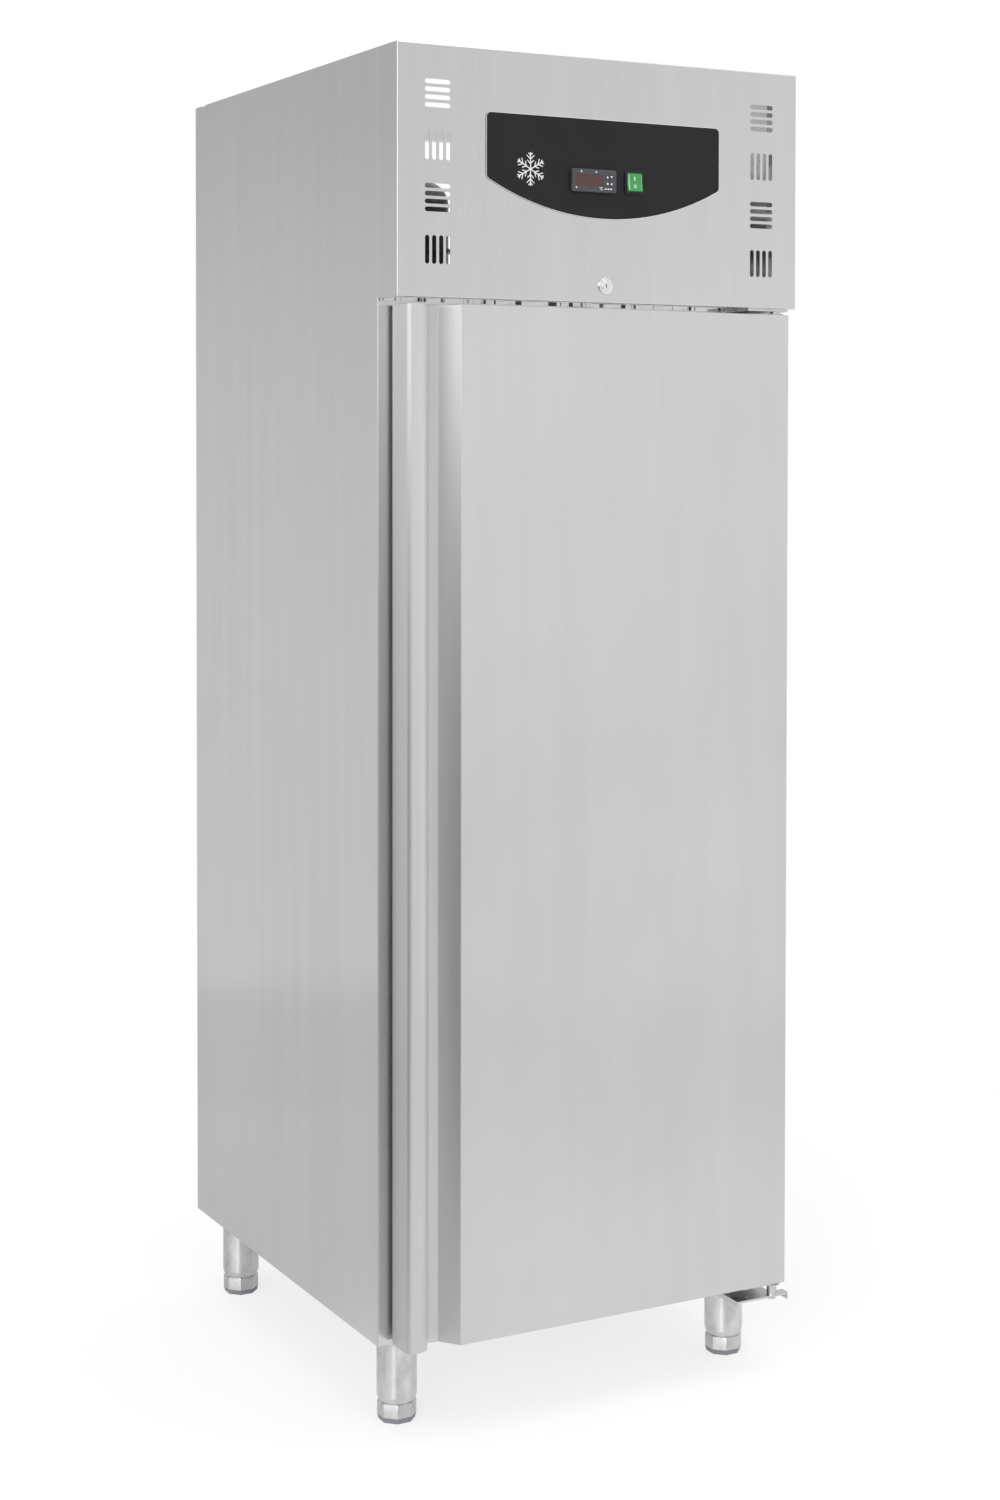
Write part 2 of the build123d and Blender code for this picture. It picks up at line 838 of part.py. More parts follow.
def make_fascia():
    """Head panel: a folded tray with vents, cut-outs and stiffening folds."""
    outer = block(x_left, x_right, y_head, y_face, z_deck, z_top)
    outer = fillet(outer.faces().sort_by(Axis.Y)[0].edges(), head_fold_radius)
    inner = block(
        x_left + sheet,
        x_right - sheet,
        y_head + sheet,
        y_face + 1,
        z_deck + sheet,
        z_top - sheet,
    )
    inner = fillet(inner.faces().sort_by(Axis.Y)[0].edges(), head_fold_radius - sheet)
    panel = outer - inner
    panel -= block(
        x_left + sheet,
        x_right - sheet,
        y_head + top_flange,
        y_face + 1,
        z_top - 2 * sheet,
        z_top + 1,
    )
    fold = block(x_left, x_left + side_flange, y_face - sheet, y_face, z_deck, z_top)
    panel = panel + fold + mirrored(fold)
    cutter = extrude(front_plane(y_head + sheet + 1) * Sketch(children=vent_slots()), sheet + 2)
    panel = panel - cutter - controller_cutout() - switch_cutout()
    panel -= rod_y(0, lock_z, y_head - 1, y_head + sheet + 1, lock_body_radius + cutout_gap)
    panel -= rod_z(hinge_x, hinge_y, z_deck - 1, z_deck + sheet + 1, pin_tail_radius + rest_gap)
    return panel - tongue_slot(lock_rise - sheet, z_deck - 1, z_deck + sheet)


def make_top_rims():
    """Angle rails on top of the two sides."""
    y1 = y_back - rim_back_gap
    x1 = x_left + sheet + rim_sheet
    top = block(x_left, x_left + rim_width, y_face, y1, z_side_top, z_top)
    down = block(x_left + sheet, x1, y_face + sheet, y1, z_top - rim_drop, z_top)
    rim = top + down
    return group([rim, mirrored(rim)])


def make_rear_rail():
    """Channel that ties the two sides together at the top of the open back."""
    half = x_right - sheet
    y0 = y_back - rear_rail_width
    z0 = z_top - rear_rail_height
    rail = block(-half, half, y0, y_back, z0, z_top)
    return rail - block(
        -half,
        half,
        y0 - 1,
        y_back - rim_sheet,
        z0 + rim_sheet,
        z_top - rim_sheet,
    )


def make_control_plate():
    """Dark plate on the head panel, straight above and bowed below."""
    top = z_top - plate_top_drop
    side = top - plate_side_height
    line = Polyline(
        (-plate_half_width, side),
        (-plate_half_width, top),
        (plate_half_width, top),
        (plate_half_width, side),
    )
    bow = ThreePointArc((plate_half_width, side), (0, side - plate_sag), (-plate_half_width, side))
    plate = front_plate(make_face(line + bow), y_head, plate_thickness)
    plate = fillet(plate.edges().filter_by(Axis.Y), plate_radius)
    return plate - controller_cutout() - switch_cutout()


def window_block(y0):
    """The display window's outline from one depth to the bottom of its seat."""
    x = controller_x + window_x
    z = controller_z + window_z
    y1 = controller_face + window_sink + window_depth
    half_x = window_width / 2
    half_z = window_height / 2
    return block(x - half_x, x + half_x, y0, y1, z - half_z, z + half_z)


def key_middle(column, row):
    """Middle of one key as seen from the front."""
    x = controller_x + key_first_x + column * key_pitch_x
    z = controller_z + (key_upper_z if row == 0 else key_lower_z)
    return x, z


def make_key(column, row):
    """One push key; its face stands a little ahead of the controller."""
    x, z = key_middle(column, row)
    y0 = controller_face - key_stand
    half_x = key_width / 2
    half_z = key_height / 2
    key = block(x - half_x, x + half_x, y0, y0 + key_depth, z - half_z, z + half_z)
    key = fillet(key.edges().filter_by(Axis.Y), key_width / 6)
    return fillet(key.faces().sort_by(Axis.Y)[0].edges(), key_stand / 2)


def key_well(column, row):
    """Room for one key and its travel."""
    x, z = key_middle(column, row)
    half_x = key_width / 2 + key_gap
    half_z = key_height / 2 + key_gap
    y1 = controller_face - key_stand + key_depth + key_travel + rest_gap
    return block(x - half_x, x + half_x, controller_face - 1, y1, z - half_z, z + half_z)


def make_controller_case():
    """Controller: a bezel on the plate and a body through it."""
    half_x = controller_width / 2
    half_z = controller_height / 2
    bezel = block(
        controller_x - half_x,
        controller_x + half_x,
        controller_face,
        plate_face,
        controller_z - half_z,
        controller_z + half_z,
    )
    bezel = fillet(bezel.edges().filter_by(Axis.Y), controller_radius)
    bezel = fillet(bezel.faces().sort_by(Axis.Y)[0].edges(), controller_radius / 3)
    half_x = controller_body_width / 2
    half_z = controller_body_height / 2
    body = block(
        controller_x - half_x,
        controller_x + half_x,
        plate_face,
        plate_face + controller_body_depth,
        controller_z - half_z,
        controller_z + half_z,
    )
    case = bezel + body - window_block(controller_face - 1)
    for row in (0, 1):
        for column in (0, 1):
            case -= key_well(column, row)
    return case


def make_display_window():
    return window_block(controller_face + window_sink)


def make_switch_bezel():
    """Housing of the rocker switch with its axle."""
    half_x = switch_width / 2
    half_z = switch_height / 2
    bezel = block(
        switch_x - half_x,
        switch_x + half_x,
        switch_face,
        plate_face,
        switch_z - half_z,
        switch_z + half_z,
    )
    bezel = fillet(bezel.edges().filter_by(Axis.Y), switch_radius)
    bezel = fillet(bezel.faces().sort_by(Axis.Y)[0].edges(), switch_radius / 3)
    half_x = switch_body_width / 2
    half_z = switch_body_height / 2
    body = block(
        switch_x - half_x,
        switch_x + half_x,
        plate_face,
        plate_face + switch_body_depth,
        switch_z - half_z,
        switch_z + half_z,
    )
    half_x = rocker_width / 2 + rest_gap
    x0 = switch_x - half_x
    x1 = switch_x + half_x
    well = rod_x(rocker_y, switch_z, x0, x1, rocker_radius + rest_gap)
    axle = rod_x(rocker_y, switch_z, x0, x1, rocker_axle_radius)
    return bezel + body - well + axle


def make_switch_rocker():
    """Rocker with its upper half pressed; its lower half stands out."""
    x0 = switch_x - rocker_width / 2
    x1 = switch_x + rocker_width / 2
    drum = rod_x(rocker_y, switch_z, x0, x1, rocker_radius)
    front = switch_face - rocker_stand
    far = 2 * rocker_radius
    rise = far * math.tan(math.radians(rocker_angle))
    side = Plane(origin=(x0, 0, 0), x_dir=(0, 1, 0), z_dir=(1, 0, 0))
    ahead = Polyline(
        (front, switch_z + far),
        (front, switch_z),
        (front - rise, switch_z - far),
        (front - far, switch_z - far),
        (front - far, switch_z + far),
        close=True,
    )
    cutter = extrude(side * make_face(ahead), rocker_width)
    bore = rod_x(rocker_y, switch_z, x0, x1, rocker_axle_radius + pin_running_gap)
    return drum - cutter - bore


def make_lock_barrel():
    """Fixed part of the door lock."""
    face = y_head - lock_stand
    rosette = rod_y(0, lock_z, face, y_head, lock_radius)
    rosette = chamfer(rosette.edges().sort_by(Axis.Y)[:1], lock_stand / 3)
    body = rod_y(0, lock_z, y_head, y_head + lock_body_length, lock_body_radius)
    bore = rod_y(0, lock_z, face - 1, tongue_y, plug_radius + pin_running_gap)
    return rosette + body - bore


def make_lock_plug():
    """Turning part of the door lock: key slot in front, tongue behind."""
    face = y_head - lock_stand - plug_proud
    plug = rod_y(0, lock_z, face, tongue_y, plug_radius)
    plug = chamfer(plug.edges().sort_by(Axis.Y)[:1], plug_proud / 2)
    half_x = keyway_width / 2
    half_z = keyway_length / 2
    plug -= block(-half_x, half_x, face - 1, face + keyway_depth, lock_z - half_z, lock_z + half_z)
    half = tongue_width / 2
    tongue = block(
        -half,
        tongue_reach,
        tongue_y,
        tongue_y + tongue_thickness,
        lock_z - half,
        lock_z + half,
    )
    tongue = fillet(tongue.edges().filter_by(Axis.Y), half / 2)
    disc = rod_y(0, lock_z, tongue_y, tongue_y + tongue_thickness, plug_radius)
    return plug + tongue + disc


def foot_angles():
    """Directions of the compressor's four feet."""
    a = compressor_foot_angle
    return (a, 180 - a, 180 + a, 360 - a)


def mount_places():
    """Where the compressor's rubber mounts stand."""
    places = []
    for angle in foot_angles():
        turn = math.radians(angle)
        x = compressor_x + mount_place * math.cos(turn)
        y = compressor_y + mount_place * math.sin(turn)
        places.append((x, y))
    return places


def make_compressor():
    """Hermetic compressor: welded shell on a cross of feet, stubs and terminal cover."""
    z0 = compressor_bottom
    z1 = z0 + compressor_height
    shell = rod_z(compressor_x, compressor_y, z0, z1, compressor_radius)
    rims = shell.edges().filter_by(GeomType.CIRCLE).sort_by(Axis.Z)
    shell = fillet(rims[-1:], compressor_dome_radius)
    rims = shell.edges().filter_by(GeomType.CIRCLE).sort_by(Axis.Z)
    shell = fillet(rims[:1], compressor_base_radius)
    seam_z = z0 + compressor_seam_rise
    seam_radius = compressor_radius + compressor_seam_stand
    shell += rod_z(compressor_x, compressor_y, seam_z, seam_z + compressor_seam_height, seam_radius)
    plate_z = z0 - compressor_foot_sheet / 2
    for turn in (compressor_foot_angle, -compressor_foot_angle):
        bar = Box(2 * compressor_foot_reach, compressor_foot_width, compressor_foot_sheet)
        shell += Pos(compressor_x, compressor_y, plate_z) * Rot(0, 0, turn) * bar
    hole_z0 = z0 - compressor_foot_sheet - 1
    for x, y in mount_places():
        shell -= rod_z(x, y, hole_z0, z0 + 1, mount_bolt_radius + rest_gap)
    rear = compressor_y + compressor_radius
    shell += rod_y(suction_stub_x, suction_run_z, compressor_y, rear + stub_reach, stub_radius)
    right = compressor_x + compressor_radius
    shell += rod_x(condenser_y, discharge_low_z, compressor_x, right + stub_reach, stub_radius)
    front = compressor_y - compressor_radius
    cover = block(
        compressor_x - terminal_width / 2,
        compressor_x + terminal_width / 2,
        front - terminal_depth,
        compressor_y,
        z0 + terminal_rise + compressor_seam_height,
        z0 + terminal_rise + terminal_height,
    )
    cover -= rod_z(compressor_x, compressor_y, z0, z1, compressor_radius + seat_gap)
    return group([shell, cover])


def make_compressor_mounts():
    """Rubber blocks under the compressor's feet."""
    mounts = []
    for x, y in mount_places():
        mount = rod_z(x, y, z_deck, z_deck + mount_height, mount_radius)
        mounts.append(mount - rod_z(x, y, z_deck, z_top, mount_bolt_radius + rest_gap))
    return group(mounts)


def make_fasteners():
    """Bolts of the compressor and screws of the hinge brackets."""
    solids = []
    for x, y in mount_places():
        bolt = rod_z(x, y, z_deck, compressor_bottom, mount_bolt_radius)
        hexagon = Pos(x, y, compressor_bottom) * RegularPolygon(bolt_head_radius, 6)
        solids.append(bolt + extrude(hexagon, bolt_head_height))
    solids += [screw(*place) for place in hinge_screw_places()]
    return group(solids)


def fin_grooves(x0, x1, y0, y1, z0, z1):
    """Grooves between the fins on both faces of a coil block."""
    count = int((x1 - x0 - fin_gap) / fin_pitch)
    first = (x0 + x1) / 2 - (count - 1) * fin_pitch / 2
    grooves = []
    for number in range(count):
        x = first + number * fin_pitch
        for ya, yb in ((y0 - 1, y0 + fin_groove), (y1 - fin_groove, y1 + 1)):
            grooves.append(block(x - fin_gap / 2, x + fin_gap / 2, ya, yb, z0 - 1, z1 + 1))
    return grooves


def return_bend(x, y, z, outward):
    """One U-shaped tube end outside an end plate."""
    low = z - coil_bend_pitch / 2
    high = z + coil_bend_pitch / 2
    far = x + outward * coil_bend_reach
    points = ((x, y, low), (far, y, low), (far, y, high), (x, y, high))
    return hose(points, coil_tube_radius, coil_bend_radius)


def coil(x0, x1, y0, y1, z_foot, z0, z1, sides):
    """A finned coil between two end plates that stand on what carries it."""
    shape = block(x0, x1, y0, y1, z0, z1) - fin_grooves(x0, x1, y0, y1, z0, z1)
    shape += block(x0 - end_plate, x0, y0, y1, z_foot, z1)
    shape += block(x1, x1 + end_plate, y0, y1, z_foot, z1)
    middle = (y0 + y1) / 2
    count = int((z1 - z0) / (2 * coil_bend_pitch))
    first = (z0 + z1) / 2 - (count - 1) * coil_bend_pitch
    for number in range(count):
        z = first + 2 * number * coil_bend_pitch
        for row in (-coil_row_offset, coil_row_offset):
            if "left" in sides:
                shape += return_bend(x0 - end_plate, middle + row, z, -1)
            if "right" in sides:
                shape += return_bend(x1 + end_plate, middle + row, z, 1)
    return shape


def make_condenser():
    """Condenser in the machine compartment; its end plates stand on the deck."""
    return coil(
        condenser_left,
        condenser_right,
        condenser_y0,
        condenser_y1,
        z_deck,
        z_deck + fin_rise,
        z_deck + condenser_height,
        ("right",),
    )


def make_evaporator():
    """Evaporator under the ceiling; its end plates stand on the tray."""
    return coil(
        -evap_half_width,
        evap_half_width,
        evap_front,
        evap_back,
        unit_bottom + unit_sheet,
        unit_bottom + unit_sheet + fin_rise,
        inner_ceiling - evap_drop,
        (),
    )


def fan_ring_inner(radius):
    """Inner radius of the mounting ring, clear of the fan's hole and collar."""
    return radius + fan_hole_gap + shroud_sheet + 2 * rest_gap


def make_fan_motor(radius, body_radius, body_length):
    """Motor on four arms, drawn with the plate that holds it in the ground plane."""
    inner = fan_ring_inner(radius)
    middle = inner + fan_ring_width / 2
    ring = Cylinder(inner + fan_ring_width, fan_ring_thickness) - Cylinder(inner, fan_ring_thickness)
    motor = Pos(0, 0, fan_ring_thickness / 2) * ring
    low = fan_ring_thickness / 2
    high = fan_arm_stand + arm_thickness
    for number in range(fan_arm_count):
        turn = Rot(0, 0, (number + 0.5) * 360 / fan_arm_count)
        half = arm_width / 2
        post = block(middle - arm_thickness, middle + arm_thickness, -half, half, low, high)
        arm = block(0, middle, -half, half, fan_arm_stand, high)
        motor += [turn * post, turn * arm]
    body = Pos(0, 0, fan_arm_stand + body_length / 2) * Cylinder(body_radius, body_length)
    body = fillet(body.edges().filter_by(GeomType.CIRCLE).sort_by(Axis.Z)[-1:], body_radius / 5)
    motor += body
    bore = Cylinder(shaft_radius + pin_running_gap, shaft_bore_depth)
    return motor - Pos(0, 0, fan_arm_stand + shaft_bore_depth / 2) * bore


def make_fan_blade(radius, chord, middle):
    """Hub, pitched blades and shaft, drawn round the Z axis."""
    hub = Pos(0, 0, middle) * Cylinder(hub_radius, hub_length)
    hub = fillet(hub.edges().filter_by(GeomType.CIRCLE).sort_by(Axis.Z)[:1], hub_radius / 5)
    blades = []
    for number in range(blade_count):
        turn = Rot(0, 0, number * 360 / blade_count)
        length = radius
        blade = Pos(hub_radius / 2 + length / 2, 0, 0) * Rot(blade_pitch, 0, 0) * Box(
            length, chord, blade_thickness
        )
        blades.append(turn * Pos(0, 0, middle) * blade)
    limit = Pos(0, 0, middle) * Cylinder(radius, 2 * chord)
    wheel = hub + [blade & limit for blade in blades]
    shaft_end = fan_arm_stand + shaft_bore_depth - 2 * rest_gap
    return wheel + Pos(0, 0, (middle + shaft_end) / 2) * Cylinder(shaft_radius, shaft_end - middle)


cond_fan_x = (condenser_left + condenser_right) / 2
cond_fan_z = z_deck + condenser_height / 2
cond_plate_y = condenser_y0 - shroud_depth
evap_plate_y = unit_front_y + unit_sheet
evap_fan_z = unit_bottom + unit_height / 2
cond_fan_place = Pos(cond_fan_x, cond_plate_y, cond_fan_z) * Rot(90, 0, 0)
evap_fan_place = Pos(0, evap_plate_y, evap_fan_z) * Rot(-90, 0, 0)


def make_condenser_shroud():
    """Box that leads the air from the condenser to the fan, with a collar."""
    x0 = condenser_left - end_plate
    x1 = condenser_right + end_plate
    z1 = z_deck + condenser_height
    shroud = block(x0, x1, cond_plate_y, condenser_y0, z_deck, z1)
    shroud -= block(
        x0 + shroud_sheet,
        x1 - shroud_sheet,
        cond_plate_y + shroud_sheet,
        condenser_y0 + 1,
        z_deck + shroud_sheet,
        z1 - shroud_sheet,
    )
    hole = cond_fan_radius + fan_hole_gap
    collar_y = cond_plate_y - collar_length
    shroud += rod_y(cond_fan_x, cond_fan_z, collar_y, cond_plate_y, hole + shroud_sheet)
    return shroud - rod_y(cond_fan_x, cond_fan_z, collar_y - 1, cond_plate_y + 2, hole)


def make_evaporator_cover():
    """Housing under the ceiling: front with the fan's hole, sides and drip tray."""
    half = unit_half_width
    cover = block(-half, half, unit_front_y, unit_back_y, unit_bottom, inner_ceiling)
    cover -= block(
        -half + unit_sheet,
        half - unit_sheet,
        unit_front_y + unit_sheet,
        unit_back_y - unit_sheet,
        unit_bottom + unit_sheet,
        inner_ceiling + 1,
    )
    cover -= block(
        -half + unit_sheet,
        half - unit_sheet,
        unit_back_y - 2 * unit_sheet,
        unit_back_y + 1,
        unit_bottom + fin_rise,
        inner_ceiling + 1,
    )
    hole = evap_fan_radius + fan_hole_gap
    cover -= rod_y(0, evap_fan_z, unit_front_y - 1, unit_front_y + 2, hole)
    return cover - rod_z(0, drain_y, unit_bottom - 1, unit_bottom + 2, drain_radius - drain_wall)


def make_filter_drier():
    """Small canister in the liquid line, with necked ends."""
    y1 = drier_y0 + drier_length
    body = rod_y(drier_x, liquid_run_z, drier_y0, y1, drier_radius)
    ends = body.edges().filter_by(GeomType.CIRCLE)
    return chamfer(ends, drier_radius / 2)


def make_refrigerant_pipes():
    """Suction, discharge and liquid lines and the canister between the liquid lines."""
    return group(
        [
            make_filter_drier(),
            hose(suction_points, suction_radius, pipe_bend),
            hose(discharge_points, suction_radius, pipe_bend),
            hose(liquid_warm_points, liquid_radius, pipe_bend),
            hose(liquid_cold_points, liquid_radius, pipe_bend),
        ]
    )


def make_drain_pipe():
    """Drain from the drip tray down through the rear wall."""
    outer = hose(drain_points, drain_radius, drain_bend)
    return outer - hose(drain_points, drain_radius - drain_wall, drain_bend)


def make_electrical_box():
    """Junction box with the bare inlet gland for the supply cord."""
    x1 = x_right - sheet - junction_from_side
    x0 = x1 - junction_width
    y1 = y_back - junction_from_back
    y0 = y1 - junction_depth
    box = block(x0, x1, y0, y1, z_deck, z_deck + junction_height)
    box = fillet(box.edges().filter_by(Axis.Z), junction_height / 12)
    x = (x0 + x1) / 2
    z = z_deck + junction_height / 2
    thread = rod_y(x, z, y1, y1 + gland_length, gland_radius)
    nut_face = front_plane(y1 + gland_length / 2) * Pos(x, z) * RegularPolygon(gland_hex, 6)
    nut = extrude(nut_face, gland_length / 2)
    gland = thread + nut
    gland = gland - rod_y(x, z, y1, y1 + gland_length, cord_hole_radius)
    return group([box, gland])


# The door
nose_right = door_left + nose_width
valley_left = nose_right + nose_slope
valley_right = valley_left + valley_width
valley_end = valley_right + valley_rise
valley_floor = door_front + valley_depth
foam_bottom = door_bottom + door_cap
foam_top = door_top - door_cap


def door_outline(inset):
    """The door in plan with its handle nose and valley, drawn in by an inset."""
    face = make_face(
        Polyline(
            (door_left, door_rear),
            (door_left, door_front),
            (nose_right, door_front),
            (valley_left, valley_floor),
            (valley_right, valley_floor),
            (valley_end, door_front),
            (door_right, door_front),
            (door_right, door_rear),
            close=True,
        )
    )
    corners = (
        (door_left, door_front, nose_left_radius),
        (nose_right, door_front, nose_right_radius),
        (valley_left, valley_floor, valley_radius),
        (valley_right, valley_floor, valley_radius),
        (valley_end, door_front, front_edge_radius),
        (door_right, door_front, front_edge_radius),
    )
    for x, y, radius in corners:
        face = fillet(near(face.vertices(), x, y), radius)
    if inset:
        face = offset(face, amount=-inset)
    return face


def door_block(inset, z0, z1):
    """The door's plan drawn up between two heights."""
    return Pos(0, 0, z0) * extrude(door_outline(inset), z1 - z0)


def field_block(inset):
    """Raised field of the inner panel, drawn in by an inset, on a root in the door."""
    half = inner_x - field_margin - inset
    z0 = inner_floor + field_margin + inset
    z1 = inner_ceiling - field_margin - inset
    field = block(-half, half, door_rear - sheet, y_face - field_gap - inset, z0, z1)
    field = fillet(field.edges().filter_by(Axis.Y), field_radius - inset)
    return field


def bush_holes():
    """Holes for both hinge bushes."""
    radius = bush_radius + seat_gap
    low = rod_z(hinge_x, hinge_y, door_bottom - 1, door_bottom + bush_depth + rest_gap, radius)
    high = rod_z(hinge_x, hinge_y, door_top - bush_depth - rest_gap, door_top + 1, radius)
    return low + high


def door_tongue_slot():
    """Pocket in the top of the door for the lock's tongue."""
    drop = lock_z - door_top
    bottom = lock_z - math.hypot(tongue_reach, tongue_width / 2) - tongue_end_gap
    return tongue_slot(drop, bottom, door_top + 1)


def make_door_skin():
    """Outer sheet of the door, folded onto its back along both sides."""
    skin = door_block(0, door_bottom, door_top) - door_block(sheet, door_bottom, door_top)
    return skin - block(
        door_left + door_return,
        door_right - door_return,
        door_rear - 2 * sheet,
        door_rear + 1,
        door_bottom,
        door_top,
    )


def make_door_foam():
    """Foam core of the door."""
    foam = door_block(sheet, foam_bottom, foam_top) + field_block(sheet)
    return foam - bush_holes() - door_tongue_slot()


def make_door_inner_panel():
    """Inner sheet of the door with its raised field."""
    flat = block(
        door_left + door_return,
        door_right - door_return,
        door_rear - sheet,
        door_rear,
        door_bottom,
        door_top,
    )
    return flat + field_block(0) - field_block(sheet)


def ring(margin_in, margin_out, y0, y1):
    """A rounded frame round the cabinet's opening, between two margins."""

    def slab(margin):
        shape = block(
            -inner_x - margin,
            inner_x + margin,
            y0,
            y1,
            inner_floor - margin,
            inner_ceiling + margin,
        )
        return fillet(shape.edges().filter_by(Axis.Y), gasket_radius + margin)

    return slab(margin_out) - slab(margin_in)


def make_door_gasket():
    """Magnetic gasket: a base strip, a narrow neck and a bulb that meets the cabinet."""
    inner = gasket_margin
    outer = gasket_margin + gasket_width
    base_end = door_rear + gasket_base
    neck_end = base_end + gasket_neck
    bulb_end = y_face - gasket_gap
    base = ring(inner, outer, door_rear, base_end)
    neck = ring(inner + gasket_neck_inset, outer - gasket_neck_inset, base_end, neck_end)
    bulb = ring(inner + gasket_bulb_inset, outer - gasket_bulb_inset, neck_end, bulb_end)
    return base + neck + bulb


def make_door_cap_top():
    """Moulded end cap inside the skin, with the pocket for the lock's tongue."""
    cap = door_block(sheet, foam_top, door_top)
    return cap - bush_holes() - door_tongue_slot()


def make_door_cap_bottom():
    return door_block(sheet, door_bottom, foam_bottom) - bush_holes()


def make_door_hinge_plate():
    """Plate under the door that holds the lower bush."""
    plate = block(
        hinge_x - door_plate_left,
        hinge_x + door_plate_right,
        hinge_y - door_plate_front,
        hinge_y + door_plate_back,
        door_bottom - door_plate_thickness,
        door_bottom,
    )
    plate = fillet(plate.edges().filter_by(Axis.Z), door_plate_thickness)
    z0 = door_bottom - door_plate_thickness - 1
    return plate - rod_z(hinge_x, hinge_y, z0, door_bottom + 1, bush_radius + seat_gap)


def make_hinge_bushes():
    """Flanged bushes that the hinge pins turn in."""
    low_z = door_bottom - door_plate_thickness
    bore = pin_radius + pin_running_gap
    low = rod_z(hinge_x, hinge_y, low_z, door_bottom + bush_depth, bush_radius)
    low += rod_z(hinge_x, hinge_y, low_z - bush_flange, low_z, bush_flange_radius)
    low -= rod_z(hinge_x, hinge_y, low_z - bush_flange, door_bottom + bush_depth, bore)
    high = rod_z(hinge_x, hinge_y, door_top - bush_depth, door_top, bush_radius)
    high += rod_z(hinge_x, hinge_y, door_top, door_top + bush_flange, bush_flange_radius)
    high -= rod_z(hinge_x, hinge_y, door_top - bush_depth, door_top + bush_flange, bore)
    return group([low, high])


def make_hinge_bracket_top():
    """Angle under the head with the upper hinge pin."""
    plate_z = z_deck - top_bracket_thickness
    x0 = hinge_x - top_bracket_left
    x1 = hinge_x + top_bracket_right
    y0 = hinge_y - top_bracket_front
    plate = block(x0, x1, y0, y_face, plate_z, z_deck)
    plate = fillet(near(plate.edges().filter_by(Axis.Z), x1, y0), top_bracket_front)
    leg_y = y_face - top_bracket_leg_sheet
    plate += block(x0, x1, leg_y, y_face, z_deck - top_bracket_leg, plate_z)
    boss_z = door_top + bush_flange + rest_gap
    plate += rod_z(hinge_x, hinge_y, boss_z, plate_z, bush_radius)
    plate += rod_z(hinge_x, hinge_y, door_top - pin_in_door, boss_z, pin_radius)
    plate += rod_z(hinge_x, hinge_y, z_deck, z_deck + pin_tail, pin_tail_radius)
    return without_screws(plate)


def make_hinge_bracket_bottom():
    """Stepped bracket under the cabinet with the lower hinge pin and a stop lug."""
    x0 = bracket_left
    x1 = hinge_x + bracket_reach_right
    y0 = y_face - bracket_front
    riser_y = y_face + bracket_step
    low_z = bracket_top - bracket_sheet
    arm = block(x0, x1, y0, riser_y + bracket_sheet, low_z, bracket_top)
    arm += block(x1, x_right, y0, y0 + lug_depth, low_z, bracket_top)
    tip_x = x_right - bracket_sheet
    arm += block(tip_x, x_right, y0, y0 + lug_depth, low_z - lug_drop, bracket_top)
    arm = fillet(near(arm.edges().filter_by(Axis.Z), x_right, y0), bracket_sheet - rest_gap)
    left_z = bracket_top - bracket_flange_drop
    arm += block(x0, x0 + bracket_sheet, y0, riser_y + bracket_sheet, left_z, bracket_top)
    arm += block(x0, x1, riser_y, riser_y + bracket_sheet, low_z, z_base)
    arm += block(x0, x1, riser_y, y_face + bracket_back, z_base - bracket_sheet, z_base)
    hole_x = x0 + bracket_hole_inset
    hole_y = hinge_y + bracket_hole_radius
    arm -= rod_z(hole_x, hole_y, low_z - 1, bracket_top + 1, bracket_hole_radius)
    boss_z = door_bottom - door_plate_thickness - bush_flange - rest_gap
    arm += rod_z(hinge_x, hinge_y, bracket_top, boss_z, bush_radius)
    arm += rod_z(hinge_x, hinge_y, boss_z, door_bottom + pin_in_door, pin_radius)
    arm += rod_z(hinge_x, hinge_y, low_z - pin_tail, low_z, pin_tail_radius)
    x, y = leg_places()["front_right"]
    arm -= rod_z(x, y, z_base - bracket_sheet - 1, z_base + 1, leg_stud_radius + rest_gap)
    return without_screws(arm)


def make_leg(x, y, top):
    """One tubular leg: closed top with a stud, threaded plug in its lower end."""
    stud_top = z_base + leg_stud_length
    hole = foot_stem_radius + pin_running_gap
    inner = leg_radius - leg_wall
    profile = Polyline(
        (hole, leg_bottom),
        (leg_radius - leg_chamfer, leg_bottom),
        (leg_radius, leg_bottom + leg_chamfer_height),
        (leg_radius, top),
        (leg_stud_radius, top),
        (leg_stud_radius, stud_top),
        (0, stud_top),
        (0, top - leg_top_plate),
        (inner, top - leg_top_plate),
        (inner, leg_bottom + leg_socket_height),
        (hole, leg_bottom + leg_socket_height),
        close=True,
    )
    return Pos(x, y, 0) * revolve(Plane.XZ * make_face(profile), Axis.Z)


def make_legs():
    """The four legs; the one at the hinge stands under the hinge bracket."""
    legs = []
    for name, (x, y) in leg_places().items():
        top = z_base - bracket_sheet if name == "front_right" else z_base
        legs.append(make_leg(x, y, top))
    return group(legs)


def octagon(apothem):
    return RegularPolygon(apothem, 8, major_radius=False)


def make_foot(x, y):
    """Levelling foot: an eight-sided grip on a threaded stem."""
    top = leg_bottom - rest_gap
    grip = Pos(0, 0, foot_cap_height) * extrude(octagon(foot_across / 2), top - foot_cap_height)
    grip = chamfer(grip.faces().sort_by(Axis.Z)[-1].edges(), foot_cap_taper / 2)
    return Pos(x, y, 0) * (grip + rod_z(0, 0, top, foot_stem_top, foot_stem_radius))


def make_foot_cap(x, y):
    """Plastic cap under a foot, tapered towards the floor."""
    taper = math.degrees(math.atan2(foot_cap_taper, foot_cap_height))
    low = octagon(foot_across / 2 - foot_cap_taper)
    return Pos(x, y, 0) * extrude(low, foot_cap_height, taper=-taper)


